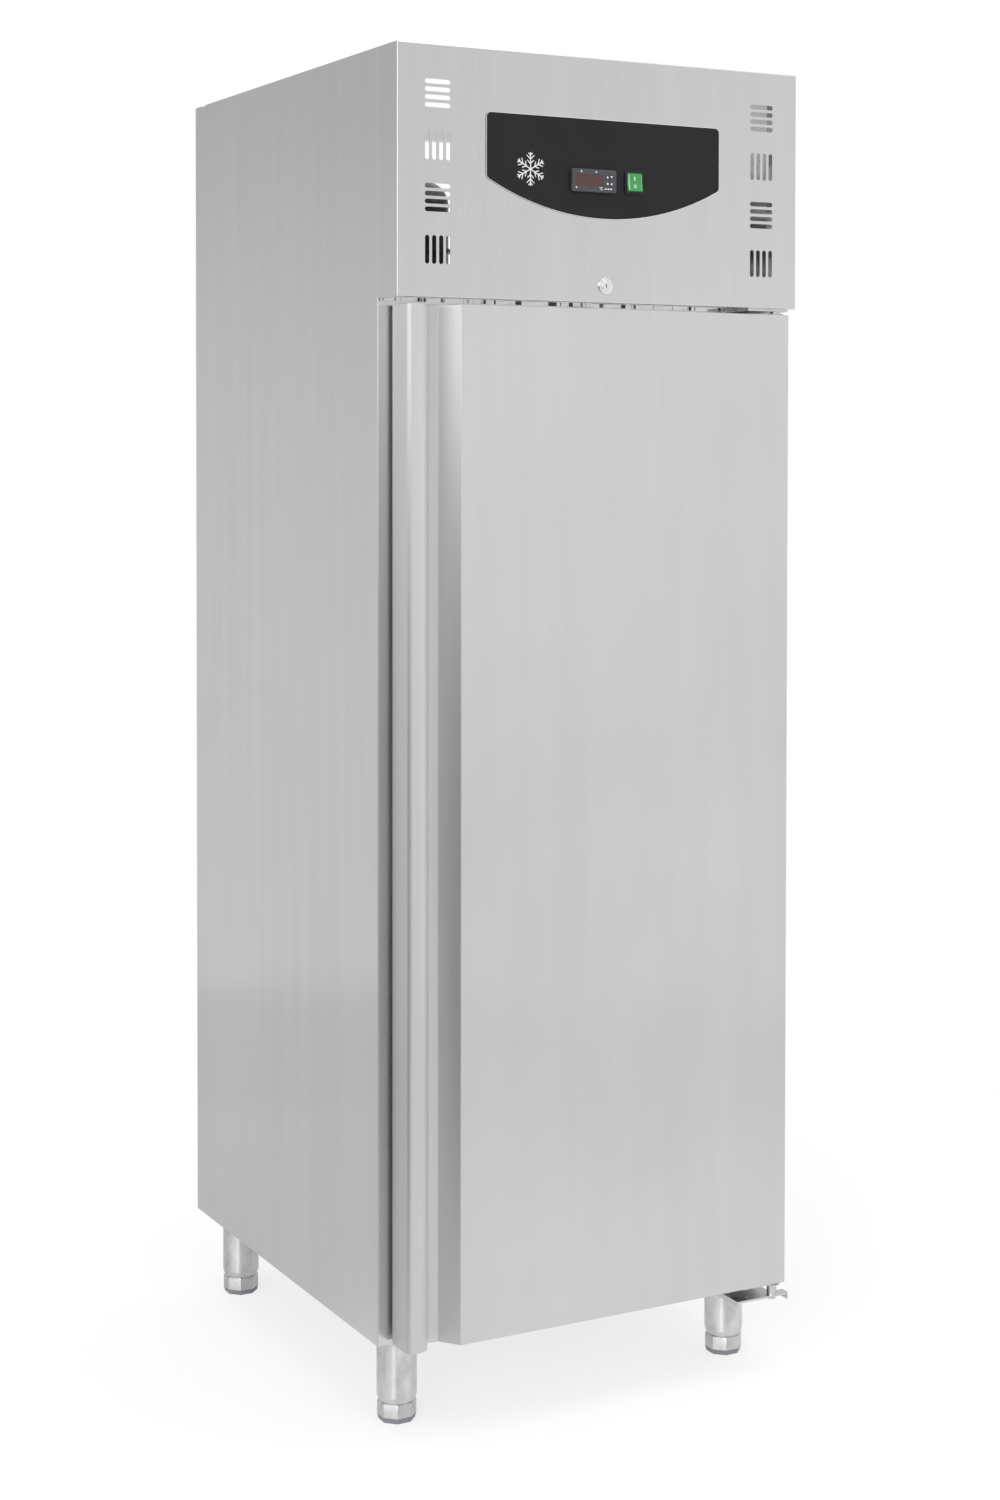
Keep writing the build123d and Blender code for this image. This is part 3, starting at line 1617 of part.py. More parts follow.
def make_nodes():
    """Every piece by its node's name."""
    side_panel = make_side_panel()
    nodes = {
        "side_panel_left": side_panel,
        "side_panel_right": mirrored(side_panel),
        "rear_panel": make_rear_panel(),
        "base_pan": without_screws(make_base_pan()),
        "deck_plate": make_deck_plate(),
        "front_frame": without_screws(make_front_frame()),
        "insulation": make_insulation(),
        "liner": make_liner(),
        "rack_posts": make_rack_posts(),
        "shelf_runners": make_shelf_runners(),
        "fascia": make_fascia(),
        "top_rims": make_top_rims(),
        "rear_rail": make_rear_rail(),
        "control_plate": make_control_plate(),
        "controller_case": make_controller_case(),
        "display_window": make_display_window(),
        "key_up": make_key(0, 0),
        "key_down": make_key(1, 0),
        "key_set": make_key(0, 1),
        "key_defrost": make_key(1, 1),
        "switch_bezel": make_switch_bezel(),
        "switch_rocker": make_switch_rocker(),
        "lock_barrel": make_lock_barrel(),
        "lock_plug": make_lock_plug(),
        "compressor": make_compressor(),
        "compressor_mounts": make_compressor_mounts(),
        "condenser": make_condenser(),
        "condenser_shroud": make_condenser_shroud(),
        "condenser_fan_motor": cond_fan_place
        * make_fan_motor(cond_fan_radius, motor_radius, motor_length),
        "condenser_fan_blade": cond_fan_place
        * make_fan_blade(cond_fan_radius, cond_blade_chord, cond_blade_forward),
        "evaporator": make_evaporator(),
        "evaporator_cover": make_evaporator_cover(),
        "evaporator_fan_motor": evap_fan_place
        * make_fan_motor(evap_fan_radius, evap_motor_radius, evap_motor_length),
        "evaporator_fan_blade": evap_fan_place
        * make_fan_blade(evap_fan_radius, evap_blade_chord, evap_blade_forward),
        "refrigerant_pipes": make_refrigerant_pipes(),
        "drain_pipe": make_drain_pipe(),
        "electrical_box": make_electrical_box(),
        "door_skin": make_door_skin(),
        "door_foam": make_door_foam(),
        "door_inner_panel": make_door_inner_panel(),
        "door_gasket": make_door_gasket(),
        "door_cap_top": make_door_cap_top(),
        "door_cap_bottom": make_door_cap_bottom(),
        "door_hinge_plate": make_door_hinge_plate(),
        "hinge_bushes": make_hinge_bushes(),
        "hinge_bracket_top": make_hinge_bracket_top(),
        "hinge_bracket_bottom": make_hinge_bracket_bottom(),
        "fasteners": make_fasteners(),
        "legs": make_legs(),
    }
    for number in range(len(shelf_slots)):
        nodes[f"shelf_{number + 1}"] = make_shelf(number)
    for name, (x, y) in leg_places().items():
        nodes["foot_" + name] = make_foot(x, y)
        nodes["foot_cap_" + name] = make_foot_cap(x, y)
    return nodes


os.makedirs("parts", exist_ok=True)
for name, shape in make_nodes().items():
    shape.label = name
    export_step(shape, f"parts/{name}.step")
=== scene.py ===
import math

import bmesh
import bpy
import numpy as np
from mathutils import Matrix, Vector


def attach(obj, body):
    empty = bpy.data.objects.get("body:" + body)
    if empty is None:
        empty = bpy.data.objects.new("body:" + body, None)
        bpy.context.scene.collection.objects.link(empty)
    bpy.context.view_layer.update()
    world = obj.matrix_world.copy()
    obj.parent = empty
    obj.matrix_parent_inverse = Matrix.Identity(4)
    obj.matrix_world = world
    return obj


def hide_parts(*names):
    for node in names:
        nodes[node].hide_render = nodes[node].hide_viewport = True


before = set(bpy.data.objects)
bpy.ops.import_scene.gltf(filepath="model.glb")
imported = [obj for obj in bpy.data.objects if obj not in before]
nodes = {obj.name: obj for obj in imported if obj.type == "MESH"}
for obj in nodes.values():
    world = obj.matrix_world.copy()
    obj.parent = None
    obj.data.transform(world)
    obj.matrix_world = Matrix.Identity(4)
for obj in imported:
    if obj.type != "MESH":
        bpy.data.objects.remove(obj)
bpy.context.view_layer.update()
print("frame loaded,", len(nodes), "nodes")


def newObject(name, data):
    # an object at the origin, linked into the scene
    made = bpy.data.objects.new(name, data)
    bpy.context.scene.collection.objects.link(made)
    return made


# Camera: place and turn in the part's frame, worked out from the picture's corners
cameraLook = {
    "place": (-1.81808, -3.52972, 1.44061),
    "yaw": 28.62,  # degrees from +Y towards +X
    "pitch": -1.41,
    "roll": 0.09,
    "focalPixels": 2442.44,
    "middlePixel": (540.62, 504.56),
    "picture": (1000, 1500),
    "sensor": 36,  # millimetres along the picture's height
    "farthest": 50,
}


def addCamera(look):
    # looking direction from yaw and pitch, then a roll about it; the focal length and the shift of
    # the middle are shares of the picture's height
    yaw, pitch, roll = (math.radians(look[turn]) for turn in ("yaw", "pitch", "roll"))
    level = math.cos(pitch)
    ahead = Vector((math.sin(yaw) * level, math.cos(yaw) * level, math.sin(pitch)))
    right = Vector((math.cos(yaw), -math.sin(yaw), 0))
    up = right.cross(ahead)
    turnedRight = right * math.cos(roll) + up * math.sin(roll)
    turnedUp = up * math.cos(roll) - right * math.sin(roll)
    turn = Matrix((turnedRight, turnedUp, -ahead)).transposed().to_4x4()
    data = bpy.data.cameras.new("photoCamera")
    camera = newObject("photoCamera", data)
    camera.matrix_world = Matrix.Translation(look["place"]) @ turn
    wide, high = look["picture"]
    data.sensor_width = look["sensor"]
    data.lens = look["sensor"] * look["focalPixels"] / high
    data.shift_x = (wide / 2 - look["middlePixel"][0]) / high
    data.shift_y = (look["middlePixel"][1] - high / 2) / high
    data.clip_end = look["farthest"]
    bpy.context.scene.camera = camera


addCamera(cameraLook)
bpy.context.scene.view_settings.view_transform = "Standard"
print("camera placed")


# Mesh helpers: every new piece is a list of points in millimetres and a list of faces
mm = 0.001
sharpFold = 30  # degrees between two faces from which their edge is drawn sharp
weldReach = 1e-7
longGaps = 8  # gaps from which a straight gets its two more points
ringSteps = 40  # points round a printed ring


def gridFaces(rows, columns, closedRows=False, closedColumns=False):
    # corner numbers of the quads of a grid whose points run row by row
    r = np.arange(rows if closedRows else rows - 1)
    c = np.arange(columns if closedColumns else columns - 1)
    r0, c0 = (a.ravel() for a in np.meshgrid(r, c, indexing="ij"))
    r1 = (r0 + 1) % rows
    c1 = (c0 + 1) % columns
    quads = (r0 * columns + c0, r0 * columns + c1, r1 * columns + c1, r1 * columns + c0)
    return np.stack(quads, axis=1)


def shutStack(rings):
    # rings of equal length joined one to the next, with one face across the first and the last
    count = len(rings[0])
    last = (len(rings) - 1) * count
    faces = [list(f) for f in gridFaces(len(rings), count, closedColumns=True)]
    faces += [list(range(count))[::-1], list(range(last, last + count))]
    return np.concatenate(rings), faces


def standing(path, y):
    # a path in (x, z) stood up at one depth y
    return np.column_stack([path[:, 0], np.full(len(path), y), path[:, 1]])


def prism(outline, low, high):
    # a closed outline in (x, z) carried from one depth to another, with both ends shut
    outline = np.asarray(outline, float)
    return shutStack([standing(outline, low), standing(outline, high)])


def revolved(profile, centre, axis="z", segments=96):
    # a closed profile of (radius, height) turned about the z or y axis through a centre
    profile = np.asarray(profile, float)
    angle = np.linspace(0, 2 * np.pi, segments, endpoint=False)
    across = profile[:, :1] * np.cos(angle)
    aside = profile[:, :1] * np.sin(angle)
    along = np.repeat(profile[:, 1:], segments, axis=1)
    order = (across, aside, along) if axis == "z" else (across, along, aside)
    points = np.stack([part.ravel() for part in order], axis=1) + np.asarray(centre, float)
    return points, gridFaces(len(profile), segments, closedRows=True, closedColumns=True)


def joined(shapes):
    # several lists of points and faces as one
    points, faces, shift = [], [], 0
    for somePoints, someFaces in shapes:
        points.append(np.asarray(somePoints, float))
        faces += [[int(c) + shift for c in face] for face in someFaces]
        shift += len(somePoints)
    return np.concatenate(points), faces


def circleOutline(middle, radius, sides):
    # equal steps round a circle
    angle = np.linspace(0, 2 * np.pi, sides, endpoint=False)
    return np.stack([middle[0] + radius * np.cos(angle), middle[1] + radius * np.sin(angle)], axis=1)


def barOutline(middle, width, height):
    # rectangle about its middle
    signs = np.array([(-1, -1), (1, -1), (1, 1), (-1, 1)])
    return signs * (width / 2, height / 2) + middle


def roundedPath(corners, closed=False, steps=10):
    # straight runs between corners (x, y, radius); each corner is an arc that touches both runs
    count = len(corners)
    points = []
    for k, (x, y, radius) in enumerate(corners):
        here = np.array([x, y], float)
        if radius == 0 or (not closed and k in (0, count - 1)):
            points.append(here[None])
            continue
        back = np.array(corners[k - 1][:2], float) - here
        ahead = np.array(corners[(k + 1) % count][:2], float) - here
        back /= np.linalg.norm(back)
        ahead /= np.linalg.norm(ahead)
        half = math.acos(np.clip(back @ ahead, -1, 1)) / 2
        middle = here + (back + ahead) / np.linalg.norm(back + ahead) * radius / math.sin(half)
        start = here + back * radius / math.tan(half) - middle
        stop = here + ahead * radius / math.tan(half) - middle
        turn = math.atan2(start[0] * stop[1] - start[1] * stop[0], start @ stop)
        angle = math.atan2(start[1], start[0]) + np.linspace(0, turn, steps + 1)
        points.append(middle + radius * np.stack([np.cos(angle), np.sin(angle)], axis=1))
    return np.concatenate(points)


def guarded(path, closed=False, gap=0.3):
    # two more points on every long straight, one gap from its ends, so that smooth shading keeps
    # it flat
    following = np.roll(path, -1, axis=0) if closed else np.vstack([path[1:], path[-1:]])
    run = following - path
    length = np.linalg.norm(run, axis=1)
    straight = length > longGaps * gap
    share = (gap / np.maximum(length, gap))[:, None]
    rows = np.stack([path, path + run * share, following - run * share], axis=1)
    return rows[np.stack([np.ones_like(straight), straight, straight], axis=1)]


def turnFacesOutward(mesh):
    # points in one place welded, then every face turned to look out of its solid
    build = bmesh.new()
    build.from_mesh(mesh)
    bmesh.ops.remove_doubles(build, verts=build.verts, dist=weldReach)
    bmesh.ops.recalc_face_normals(build, faces=build.faces)
    build.to_mesh(mesh)
    build.free()


def newPiece(name, points, faces, finish, body, replaced=(), outward=True):
    # a mesh object at the origin that rides on a body and may take CAD nodes' places
    mesh = bpy.data.meshes.new(name)
    places = (np.asarray(points, float) * mm).tolist()
    mesh.from_pydata(places, [], [list(map(int, f)) for f in faces])
    mesh.polygons.foreach_set("use_smooth", [True] * len(mesh.polygons))
    if outward:
        turnFacesOutward(mesh)
    mesh.set_sharp_from_angle(angle=math.radians(sharpFold))
    mesh.materials.append(finishes[finish])
    mesh.update()
    piece = newObject(name, mesh)
    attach(piece, body)
    if replaced:
        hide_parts(*replaced)
    return piece


# Node helpers for the materials
noiseReach = (0.3, 0.7)  # nearly all of a noise field lies between these


def feed(tree, node, inputs):
    # an input is linked to a node's first output or to a given output, else it takes the value
    for key, value in inputs.items():
        if isinstance(value, bpy.types.Node):
            value = value.outputs[0]
        if isinstance(value, bpy.types.NodeSocket):
            tree.links.new(value, node.inputs[key])
        else:
            node.inputs[key].default_value = value


def addNode(tree, kind, inputs=(), **settings):
    # a shader node with its own settings, then its inputs by name or number
    node = tree.nodes.new("ShaderNode" + kind)
    for key, value in settings.items():
        setattr(node, key, value)
    feed(tree, node, dict(inputs))
    return node


def newMaterial(name):
    # a material with its tree and its one shader
    material = bpy.data.materials.new(name)
    material.use_nodes = True
    tree = material.node_tree
    return material, tree, tree.nodes["Principled BSDF"]


def emptiedTree(owner):
    # the node tree of a material or world with nothing in it
    owner.use_nodes = True
    owner.node_tree.nodes.clear()
    return owner.node_tree


def coordinates(tree, stretch=(1, 1, 1)):
    # object coordinates in metres, multiplied by a stretch along each axis
    where = addNode(tree, "TexCoord").outputs["Object"]
    return addNode(tree, "Mapping", {"Vector": where, "Scale": stretch})


def noiseField(tree, vector, scale, detail=3.0, roughness=0.55):
    # clouds of noise around one half; the scale counts them per metre
    inputs = {"Vector": vector, "Scale": scale, "Detail": detail, "Roughness": roughness}
    return addNode(tree, "TexNoise", inputs)


def ranged(tree, value, start, stop, low=0.0, high=1.0, kind="LINEAR"):
    # a value carried from one span onto another, and held at both ends
    inputs = {"Value": value, "From Min": start, "From Max": stop, "To Min": low, "To Max": high}
    return addNode(tree, "MapRange", inputs, interpolation_type=kind)


def spread(tree, field, low, high):
    # a noise field spread between two values
    return ranged(tree, field, *noiseReach, low, high)


def combine(tree, first, second, operation="ADD"):
    # two fields, or a field and a number, put together by one sum
    return addNode(tree, "Math", {0: first, 1: second}, operation=operation)


def asColour(value):
    # a number is a grey, three shares are a colour, what comes from another node stays as it is
    if isinstance(value, float):
        return (value, value, value, 1)
    return (*value, 1) if isinstance(value, tuple) else value


def blended(tree, share, first, second):
    # first colour where the share is nothing, second where it is whole
    inputs = {0: share, 6: asColour(first), 7: asColour(second)}
    return addNode(tree, "Mix", inputs, data_type="RGBA").outputs[2]


def shade(colour, amount):
    # a colour multiplied by an amount, up to white
    return tuple(min(1.0, c * amount) for c in colour)


def addRelief(tree, shader, height, distance, strength=1.0):
    # a height field, in shares of a distance in metres, bends the shading
    inputs = {"Height": height, "Distance": distance, "Strength": strength}
    feed(tree, shader, {"Normal": addNode(tree, "Bump", inputs)})


# Slit between door and head: smooth steel with dark marks of painted shade, all sizes in metres
slitLook = {
    "middle": (0.0, -0.36275, 1.64895),
    "reach": (0.3385, 0.0325, 0.00195),
    "roughness": 0.04,
    "stretch": (1, 0.2, 0),
    "shadeMarkScale": 48,
    "shadeMarkNoise": (3.0, 0.7),  # detail and roughness of the noise
    "cut": (0.53, 0.57),
    # colour of the painted shade marks
    "dark": (0.05, 0.05, 0.055),
}


def slitMask(tree, middle, reach):
    # one where every coordinate lies within its reach of the middle, nothing elsewhere
    place = addNode(tree, "SeparateXYZ", {0: coordinates(tree)})
    inside = []
    for axis in range(3):
        inputs = {0: place.outputs[axis], 1: middle[axis], 2: reach[axis]}
        inside.append(addNode(tree, "Math", inputs, operation="COMPARE"))
    return combine(tree, combine(tree, inside[0], inside[1], "MULTIPLY"), inside[2], "MULTIPLY")


def slitWithPaintedShade(tree, colour, rough, look):
    # within the mask the roughness is the slit's own, and a noise cut off at a level gives dark marks of
    # painted shade
    mask = slitMask(tree, look["middle"], look["reach"])
    smooth = addNode(tree, "Mix", {0: mask, 2: rough, 3: look["roughness"]})
    vector = coordinates(tree, look["stretch"])
    shadeStreaks = noiseField(tree, vector, look["shadeMarkScale"], *look["shadeMarkNoise"])
    paintedShadeMarks = combine(tree, mask, ranged(tree, shadeStreaks, *look["cut"]), "MULTIPLY")
    return blended(tree, paintedShadeMarks, colour, look["dark"]), smooth


# Brushed stainless sheet
brushedCommon = {
    "grainAlong": "z",
    "scratches": 900,  # per metre across the grain
    "scratchDraw": 0.012,  # rate of change along the grain, as a share of that across it
    "scratchNoise": (4.0, 0.7),
    "bands": 26,
    "bandDraw": 0.05,
    "bandNoise": (2.0, 0.5),
    "clouds": 2.2,
    "cloudNoise": (3.0, 0.6),
    "scratchTint": 0.6,  # share of the scratches in the colour's drift
    "bandTint": 0.4,
    "darkest": 0.955,
    "lightest": 1.035,
    "scratchBlur": 0.02,
    "depth": 6e-6,
    "bandHeight": 0.4,
    "upright": (0.03, 0.02, 1.0),  # not quite straight up, so that it crosses level faces too
}
brushedLooks = {
    "panelSteel": {
        "base": (0.640, 0.639, 0.637), "roughness": (0.19, 0.25), "anisotropy": 0.8, "slit": slitLook,
    },
    "doorSteel": {"base": (0.695, 0.694, 0.692), "roughness": (0.31, 0.36), "anisotropy": 1.0},
    "linerSteel": {
        "base": (0.66, 0.665, 0.67), "roughness": (0.26, 0.34), "anisotropy": 0.7, "scratches": 700,
        "bands": 20, "clouds": 3.0, "darkest": 0.94, "lightest": 1.03, "depth": 8e-6,
    },
    "hingeSteel": {
        "base": (0.62, 0.62, 0.62), "roughness": (0.22, 0.34), "anisotropy": 0.5, "scratches": 1500,
        "bands": 90, "clouds": 30, "darkest": 0.88, "lightest": 1.05, "depth": 1e-5, "grainAlong": "x",
    },
}


def brushedSheet(name, look):
    # long scratches and broad bands drift the colour, clouds and scratches the roughness, scratches
    # and bands the height; the blur is drawn out level, along upright crossed with the face's normal
    material, tree, shader = newMaterial(name)

    def drawnOut(share):
        return coordinates(tree, tuple(share if axis == look["grainAlong"] else 1.0 for axis in "xyz"))

    scratches = noiseField(tree, drawnOut(look["scratchDraw"]), look["scratches"], *look["scratchNoise"])
    bands = noiseField(tree, drawnOut(look["bandDraw"]), look["bands"], *look["bandNoise"])
    clouds = noiseField(tree, coordinates(tree), look["clouds"], *look["cloudNoise"])
    scratchTint = spread(tree, scratches, 0, look["scratchTint"])
    tint = combine(tree, scratchTint, spread(tree, bands, 0, look["bandTint"]))
    dark, light = (shade(look["base"], look[end]) for end in ("darkest", "lightest"))
    colour = blended(tree, tint, dark, light)
    blur = look["scratchBlur"]
    rough = combine(tree, spread(tree, clouds, *look["roughness"]), spread(tree, scratches, -blur, blur))
    # painted shade marks in the slit between door and head
    if "slit" in look:
        colour, rough = slitWithPaintedShade(tree, colour, rough, look["slit"])
    normal = addNode(tree, "NewGeometry").outputs["Normal"]
    inputs = {0: normal, 1: look["upright"]}
    across = addNode(tree, "VectorMath", inputs, operation="CROSS_PRODUCT")
    feed(tree, shader, {
        "Base Color": colour,
        "Roughness": rough,
        "Metallic": 1.0,
        "Anisotropic": look["anisotropy"],
        "Tangent": across,
    })
    bandHeight = combine(tree, bands, look["bandHeight"], "MULTIPLY")
    addRelief(tree, shader, combine(tree, scratches, bandHeight), look["depth"])
    return material


# Polished, rolled or drawn metal with cloudy blotches, as on the legs
cloudedCommon = {
    "stretch": (1, 1, 1),
    "blotchNoise": (4.0, 0.6),
    "grainStretch": (1, 1, 0.05),
    "grainHeight": 0.1,
    "depth": 2e-5,
}
cloudedLooks = {
    "screwSteel": {
        "base": (0.68, 0.68, 0.68), "darkest": 0.8, "roughness": (0.25, 0.4),
        "blotches": 160, "grain": 2400, "depth": 1e-5,
    },
    "legSteel": {
        "base": (0.74, 0.737, 0.73), "darkest": 0.78, "roughness": (0.30, 0.44),
        "blotches": 52, "grain": 1500, "depth": 22e-5, "stretch": (1, 1, 0.6), "turned": 0.85,
    },
    "footSteel": {
        "base": (0.64, 0.637, 0.63), "darkest": 0.86, "roughness": (0.34, 0.46),
        "blotches": 90, "grain": 1800, "depth": 1e-4, "turned": 0.8,
    },
    "shelfChrome": {
        "base": (0.78, 0.79, 0.80), "darkest": 0.93, "roughness": (0.12, 0.2),
        "blotches": 60, "grain": 1500, "depth": 1e-5,
    },
    "lockChrome": {
        "base": (0.80, 0.81, 0.83), "darkest": 0.92, "roughness": (0.10, 0.18),
        "blotches": 200, "grain": 3000, "depth": 1e-5,
    },
    "finAluminium": {
        "base": (0.78, 0.79, 0.80), "darkest": 0.85, "roughness": (0.28, 0.45),
        "blotches": 40, "grain": 900,
    },
    "fanAluminium": {
        "base": (0.76, 0.77, 0.78), "darkest": 0.88, "roughness": (0.25, 0.38),
        "blotches": 30, "grain": 700,
    },
    "galvanisedSheet": {
        "base": (0.56, 0.58, 0.60), "darkest": 0.78, "roughness": (0.32, 0.5),
        "blotches": 85, "grain": 600,
    },
    "copperTube": {
        "base": (0.80, 0.40, 0.26), "darkest": 0.62, "roughness": (0.22, 0.42),
        "blotches": 55, "grain": 900,
    },
    "cutEdge": {
        "base": (0.80, 0.80, 0.80), "darkest": 0.9, "roughness": (0.45, 0.6),
        "blotches": 40, "grain": 2400, "depth": 5e-6,
    },
}


def cloudedSteel(name, look):
    # blotches lead colour, roughness and height, and a grain adds to the height; a turned piece
    # blurs along the upright axis
    material, tree, shader = newMaterial(name)
    blotches = noiseField(tree, coordinates(tree, look["stretch"]), look["blotches"], *look["blotchNoise"])
    grain = noiseField(tree, coordinates(tree, look["grainStretch"]), look["grain"])
    low, high = look["roughness"]
    dark = shade(look["base"], look["darkest"])
    feed(tree, shader, {
        "Base Color": blended(tree, spread(tree, blotches, 0, 1), dark, look["base"]),
        "Roughness": spread(tree, blotches, high, low),
        "Metallic": 1.0,
    })
    if "turned" in look:
        upright = addNode(tree, "CombineXYZ", {"Z": 1.0})
        feed(tree, shader, {"Anisotropic": look["turned"], "Tangent": upright})
    grainHeight = combine(tree, grain, look["grainHeight"], "MULTIPLY")
    addRelief(tree, shader, combine(tree, blotches, grainHeight), look["depth"])
    return material


# Moulded plastic, rubber, print or enamel
mouldedCommon = {
    "drift": 14,  # blotches per metre
    "shades": (0.93, 1.06),
    "skin": 1400,
    "skinDetail": 2.0,
    "strength": 0.5,
    "ior": 1.5,
    "coat": 0.0,
    "coatRoughness": 0.1,
    "subsurface": 0.0,
    "depth": 2e-5,
}
mouldedLooks = {
    "bushPlastic": {"base": (0.46, 0.46, 0.455), "roughness": (0.35, 0.45), "skin": 1500},
    "blackPlate": {
        "base": (0.011, 0.011, 0.0125), "roughness": (0.42, 0.5), "skin": 2200, "depth": 1e-5, "ior": 1.33,
    },
    "bezelPlastic": {
        "base": (0.012, 0.012, 0.013), "roughness": (0.38, 0.5), "skin": 3000, "depth": 1e-5, "ior": 1.38,
    },
    "controllerPlastic": {
        "base": (0.052, 0.055, 0.062), "roughness": (0.36, 0.46), "skin": 3000, "depth": 1e-5,
    },
    "keyRubber": {"base": (0.045, 0.047, 0.052), "roughness": (0.5, 0.6), "skin": 3000, "depth": 1e-5},
    "smokedWindow": {"base": (0.055, 0.014, 0.013), "roughness": (0.10, 0.16), "coat": 0.6, "depth": 4e-6},
    "greenLens": {
        "base": (0.030, 0.30, 0.065), "roughness": (0.20, 0.32), "coat": 0.35, "subsurface": 0.1,
        "depth": 1e-5,
    },
    "compressorEnamel": {
        "base": (0.014, 0.014, 0.015), "roughness": (0.24, 0.42), "coat": 0.3, "drift": 22,
        "skin": 320, "depth": 12e-5,
    },
    "motorEnamel": {"base": (0.035, 0.036, 0.038), "roughness": (0.4, 0.55), "skin": 500, "depth": 8e-5},
    "blackRubber": {"base": (0.018, 0.018, 0.018), "roughness": (0.7, 0.85), "skin": 900, "depth": 5e-5},
    "gasketRubber": {"base": (0.16, 0.165, 0.17), "roughness": (0.55, 0.7), "skin": 900, "depth": 3e-5},
    "footPlastic": {"base": (0.235, 0.24, 0.265), "roughness": (0.45, 0.55), "skin": 1500},
    "capPlastic": {"base": (0.74, 0.745, 0.75), "roughness": (0.4, 0.5), "skin": 1500},
    "coverPlastic": {"base": (0.78, 0.78, 0.77), "roughness": (0.4, 0.55), "skin": 1200, "depth": 3e-5},
    "boxPlastic": {"base": (0.42, 0.43, 0.44), "roughness": (0.45, 0.6), "skin": 900, "depth": 4e-5},
    "fanPlastic": {"base": (0.045, 0.046, 0.05), "roughness": (0.35, 0.45), "skin": 900, "depth": 3e-5},
    "whitePrint": {"base": (0.80, 0.81, 0.82), "roughness": (0.4, 0.5), "skin": 2500, "depth": 5e-6},
    # moulded rims beside the rocker; their pale and grey colours are painted highlights of its left and
    # right edges
    "paintedHighlightRim": {
        "base": (0.66, 0.80, 0.68), "roughness": (0.15, 0.25), "coat": 0.5, "skin": 2500, "depth": 5e-6,
    },
    "paintedDimHighlightRim": {
        "base": (0.24, 0.33, 0.26), "roughness": (0.2, 0.3), "coat": 0.5, "skin": 2500, "depth": 5e-6,
    },
    "ghostDigit": {"base": (0.105, 0.034, 0.030), "roughness": (0.2, 0.3), "skin": 2500, "depth": 3e-6},
}


def mouldedSkin(name, look):
    # a slow drift leads colour and roughness, a fine skin the height
    material, tree, shader = newMaterial(name)
    drift = noiseField(tree, coordinates(tree), look["drift"])
    skin = noiseField(tree, coordinates(tree), look["skin"], look["skinDetail"])
    dark, light = (shade(look["base"], amount) for amount in look["shades"])
    feed(tree, shader, {
        "Base Color": blended(tree, spread(tree, drift, 0, 1), dark, light),
        "Roughness": spread(tree, drift, *look["roughness"]),
        "IOR": look["ior"],
        "Coat Weight": look["coat"],
        "Coat Roughness": look["coatRoughness"],
        "Subsurface Weight": look["subsurface"],
    })
    addRelief(tree, shader, skin, look["depth"], look["strength"])
    return material


# Open-cell foam, seen only where panels are open
foamLooks = {
    "insulationFoam": {
        "base": (0.80, 0.72, 0.50), "darkest": 0.85, "roughness": 0.95, "drift": 9, "cells": 520,
        "depth": 4e-4,
    },
}


def pouredFoam(name, look):
    # a slow drift leads the colour, and the distance to the next cell's middle gives the pores
    material, tree, shader = newMaterial(name)
    plain = coordinates(tree)
    cells = addNode(tree, "TexVoronoi", {"Vector": plain, "Scale": look["cells"]})
    drift = noiseField(tree, plain, look["drift"])
    dark = shade(look["base"], look["darkest"])
    colour = blended(tree, spread(tree, drift, 0, 1), dark, look["base"])
    feed(tree, shader, {"Base Color": colour, "Roughness": look["roughness"]})
    addRelief(tree, shader, cells, look["depth"])
    return material


finishes = {}
for make, common, looks in (
    (brushedSheet, brushedCommon, brushedLooks),
    (cloudedSteel, cloudedCommon, cloudedLooks),
    (mouldedSkin, mouldedCommon, mouldedLooks),
    (pouredFoam, {}, foamLooks),
):
    for finishName, own in looks.items():
        finishes[finishName] = make(finishName, {**common, **own})

cornerNames = ("front_left", "front_right", "rear_left", "rear_right")
nodesOfFinish = {
    "panelSteel": (
        "side_panel_left", "side_panel_right", "rear_panel", "base_pan", "deck_plate",
        "front_frame", "fascia", "top_rims", "rear_rail",
    ),
    "doorSteel": ("door_skin",),
    "linerSteel": ("liner", "rack_posts", "shelf_runners", "door_inner_panel"),
    "hingeSteel": ("door_hinge_plate", "hinge_bracket_top", "hinge_bracket_bottom"),
    "screwSteel": ("fasteners",),
    "legSteel": ("legs",),
    "footSteel": tuple("foot_" + corner for corner in cornerNames),
    "shelfChrome": ("shelf_1", "shelf_2", "shelf_3"),
    "lockChrome": ("lock_barrel", "lock_plug"),
    "finAluminium": ("condenser", "evaporator"),
    "fanAluminium": ("condenser_fan_blade",),
    "galvanisedSheet": ("condenser_shroud",),
    "copperTube": ("refrigerant_pipes",),
    "bushPlastic": ("hinge_bushes",),
    "blackPlate": ("control_plate",),
    "bezelPlastic": ("switch_bezel",),
    "controllerPlastic": ("controller_case",),
    "keyRubber": ("key_up", "key_down", "key_set", "key_defrost"),
    "smokedWindow": ("display_window",),
    "greenLens": ("switch_rocker",),
    "compressorEnamel": ("compressor",),
    "motorEnamel": ("condenser_fan_motor", "evaporator_fan_motor"),
    "blackRubber": ("compressor_mounts",),
    "gasketRubber": ("door_gasket",),
    "footPlastic": tuple("foot_cap_" + corner for corner in cornerNames),
    "capPlastic": ("door_cap_top", "door_cap_bottom"),
    "coverPlastic": ("evaporator_cover",),
    "boxPlastic": ("drain_pipe", "electrical_box"),
    "fanPlastic": ("evaporator_fan_blade",),
    "insulationFoam": ("insulation", "door_foam"),
}
bare = set(nodes)
for finishName, nodeNames in nodesOfFinish.items():
    for nodeName in nodeNames:
        slots = nodes[nodeName].data.materials
        if len(slots):
            slots[0] = finishes[finishName]
        else:
            slots.append(finishes[finishName])
        bare.discard(nodeName)
print("finishes made and given to the CAD nodes; without one:", sorted(bare))


# Sizes of the part in millimetres, as the pieces below need them
head, face = -396.35, -331.35  # fronts of the head panel and of the frame
base, deck = 130.0, 1650.0
sheet = 0.8


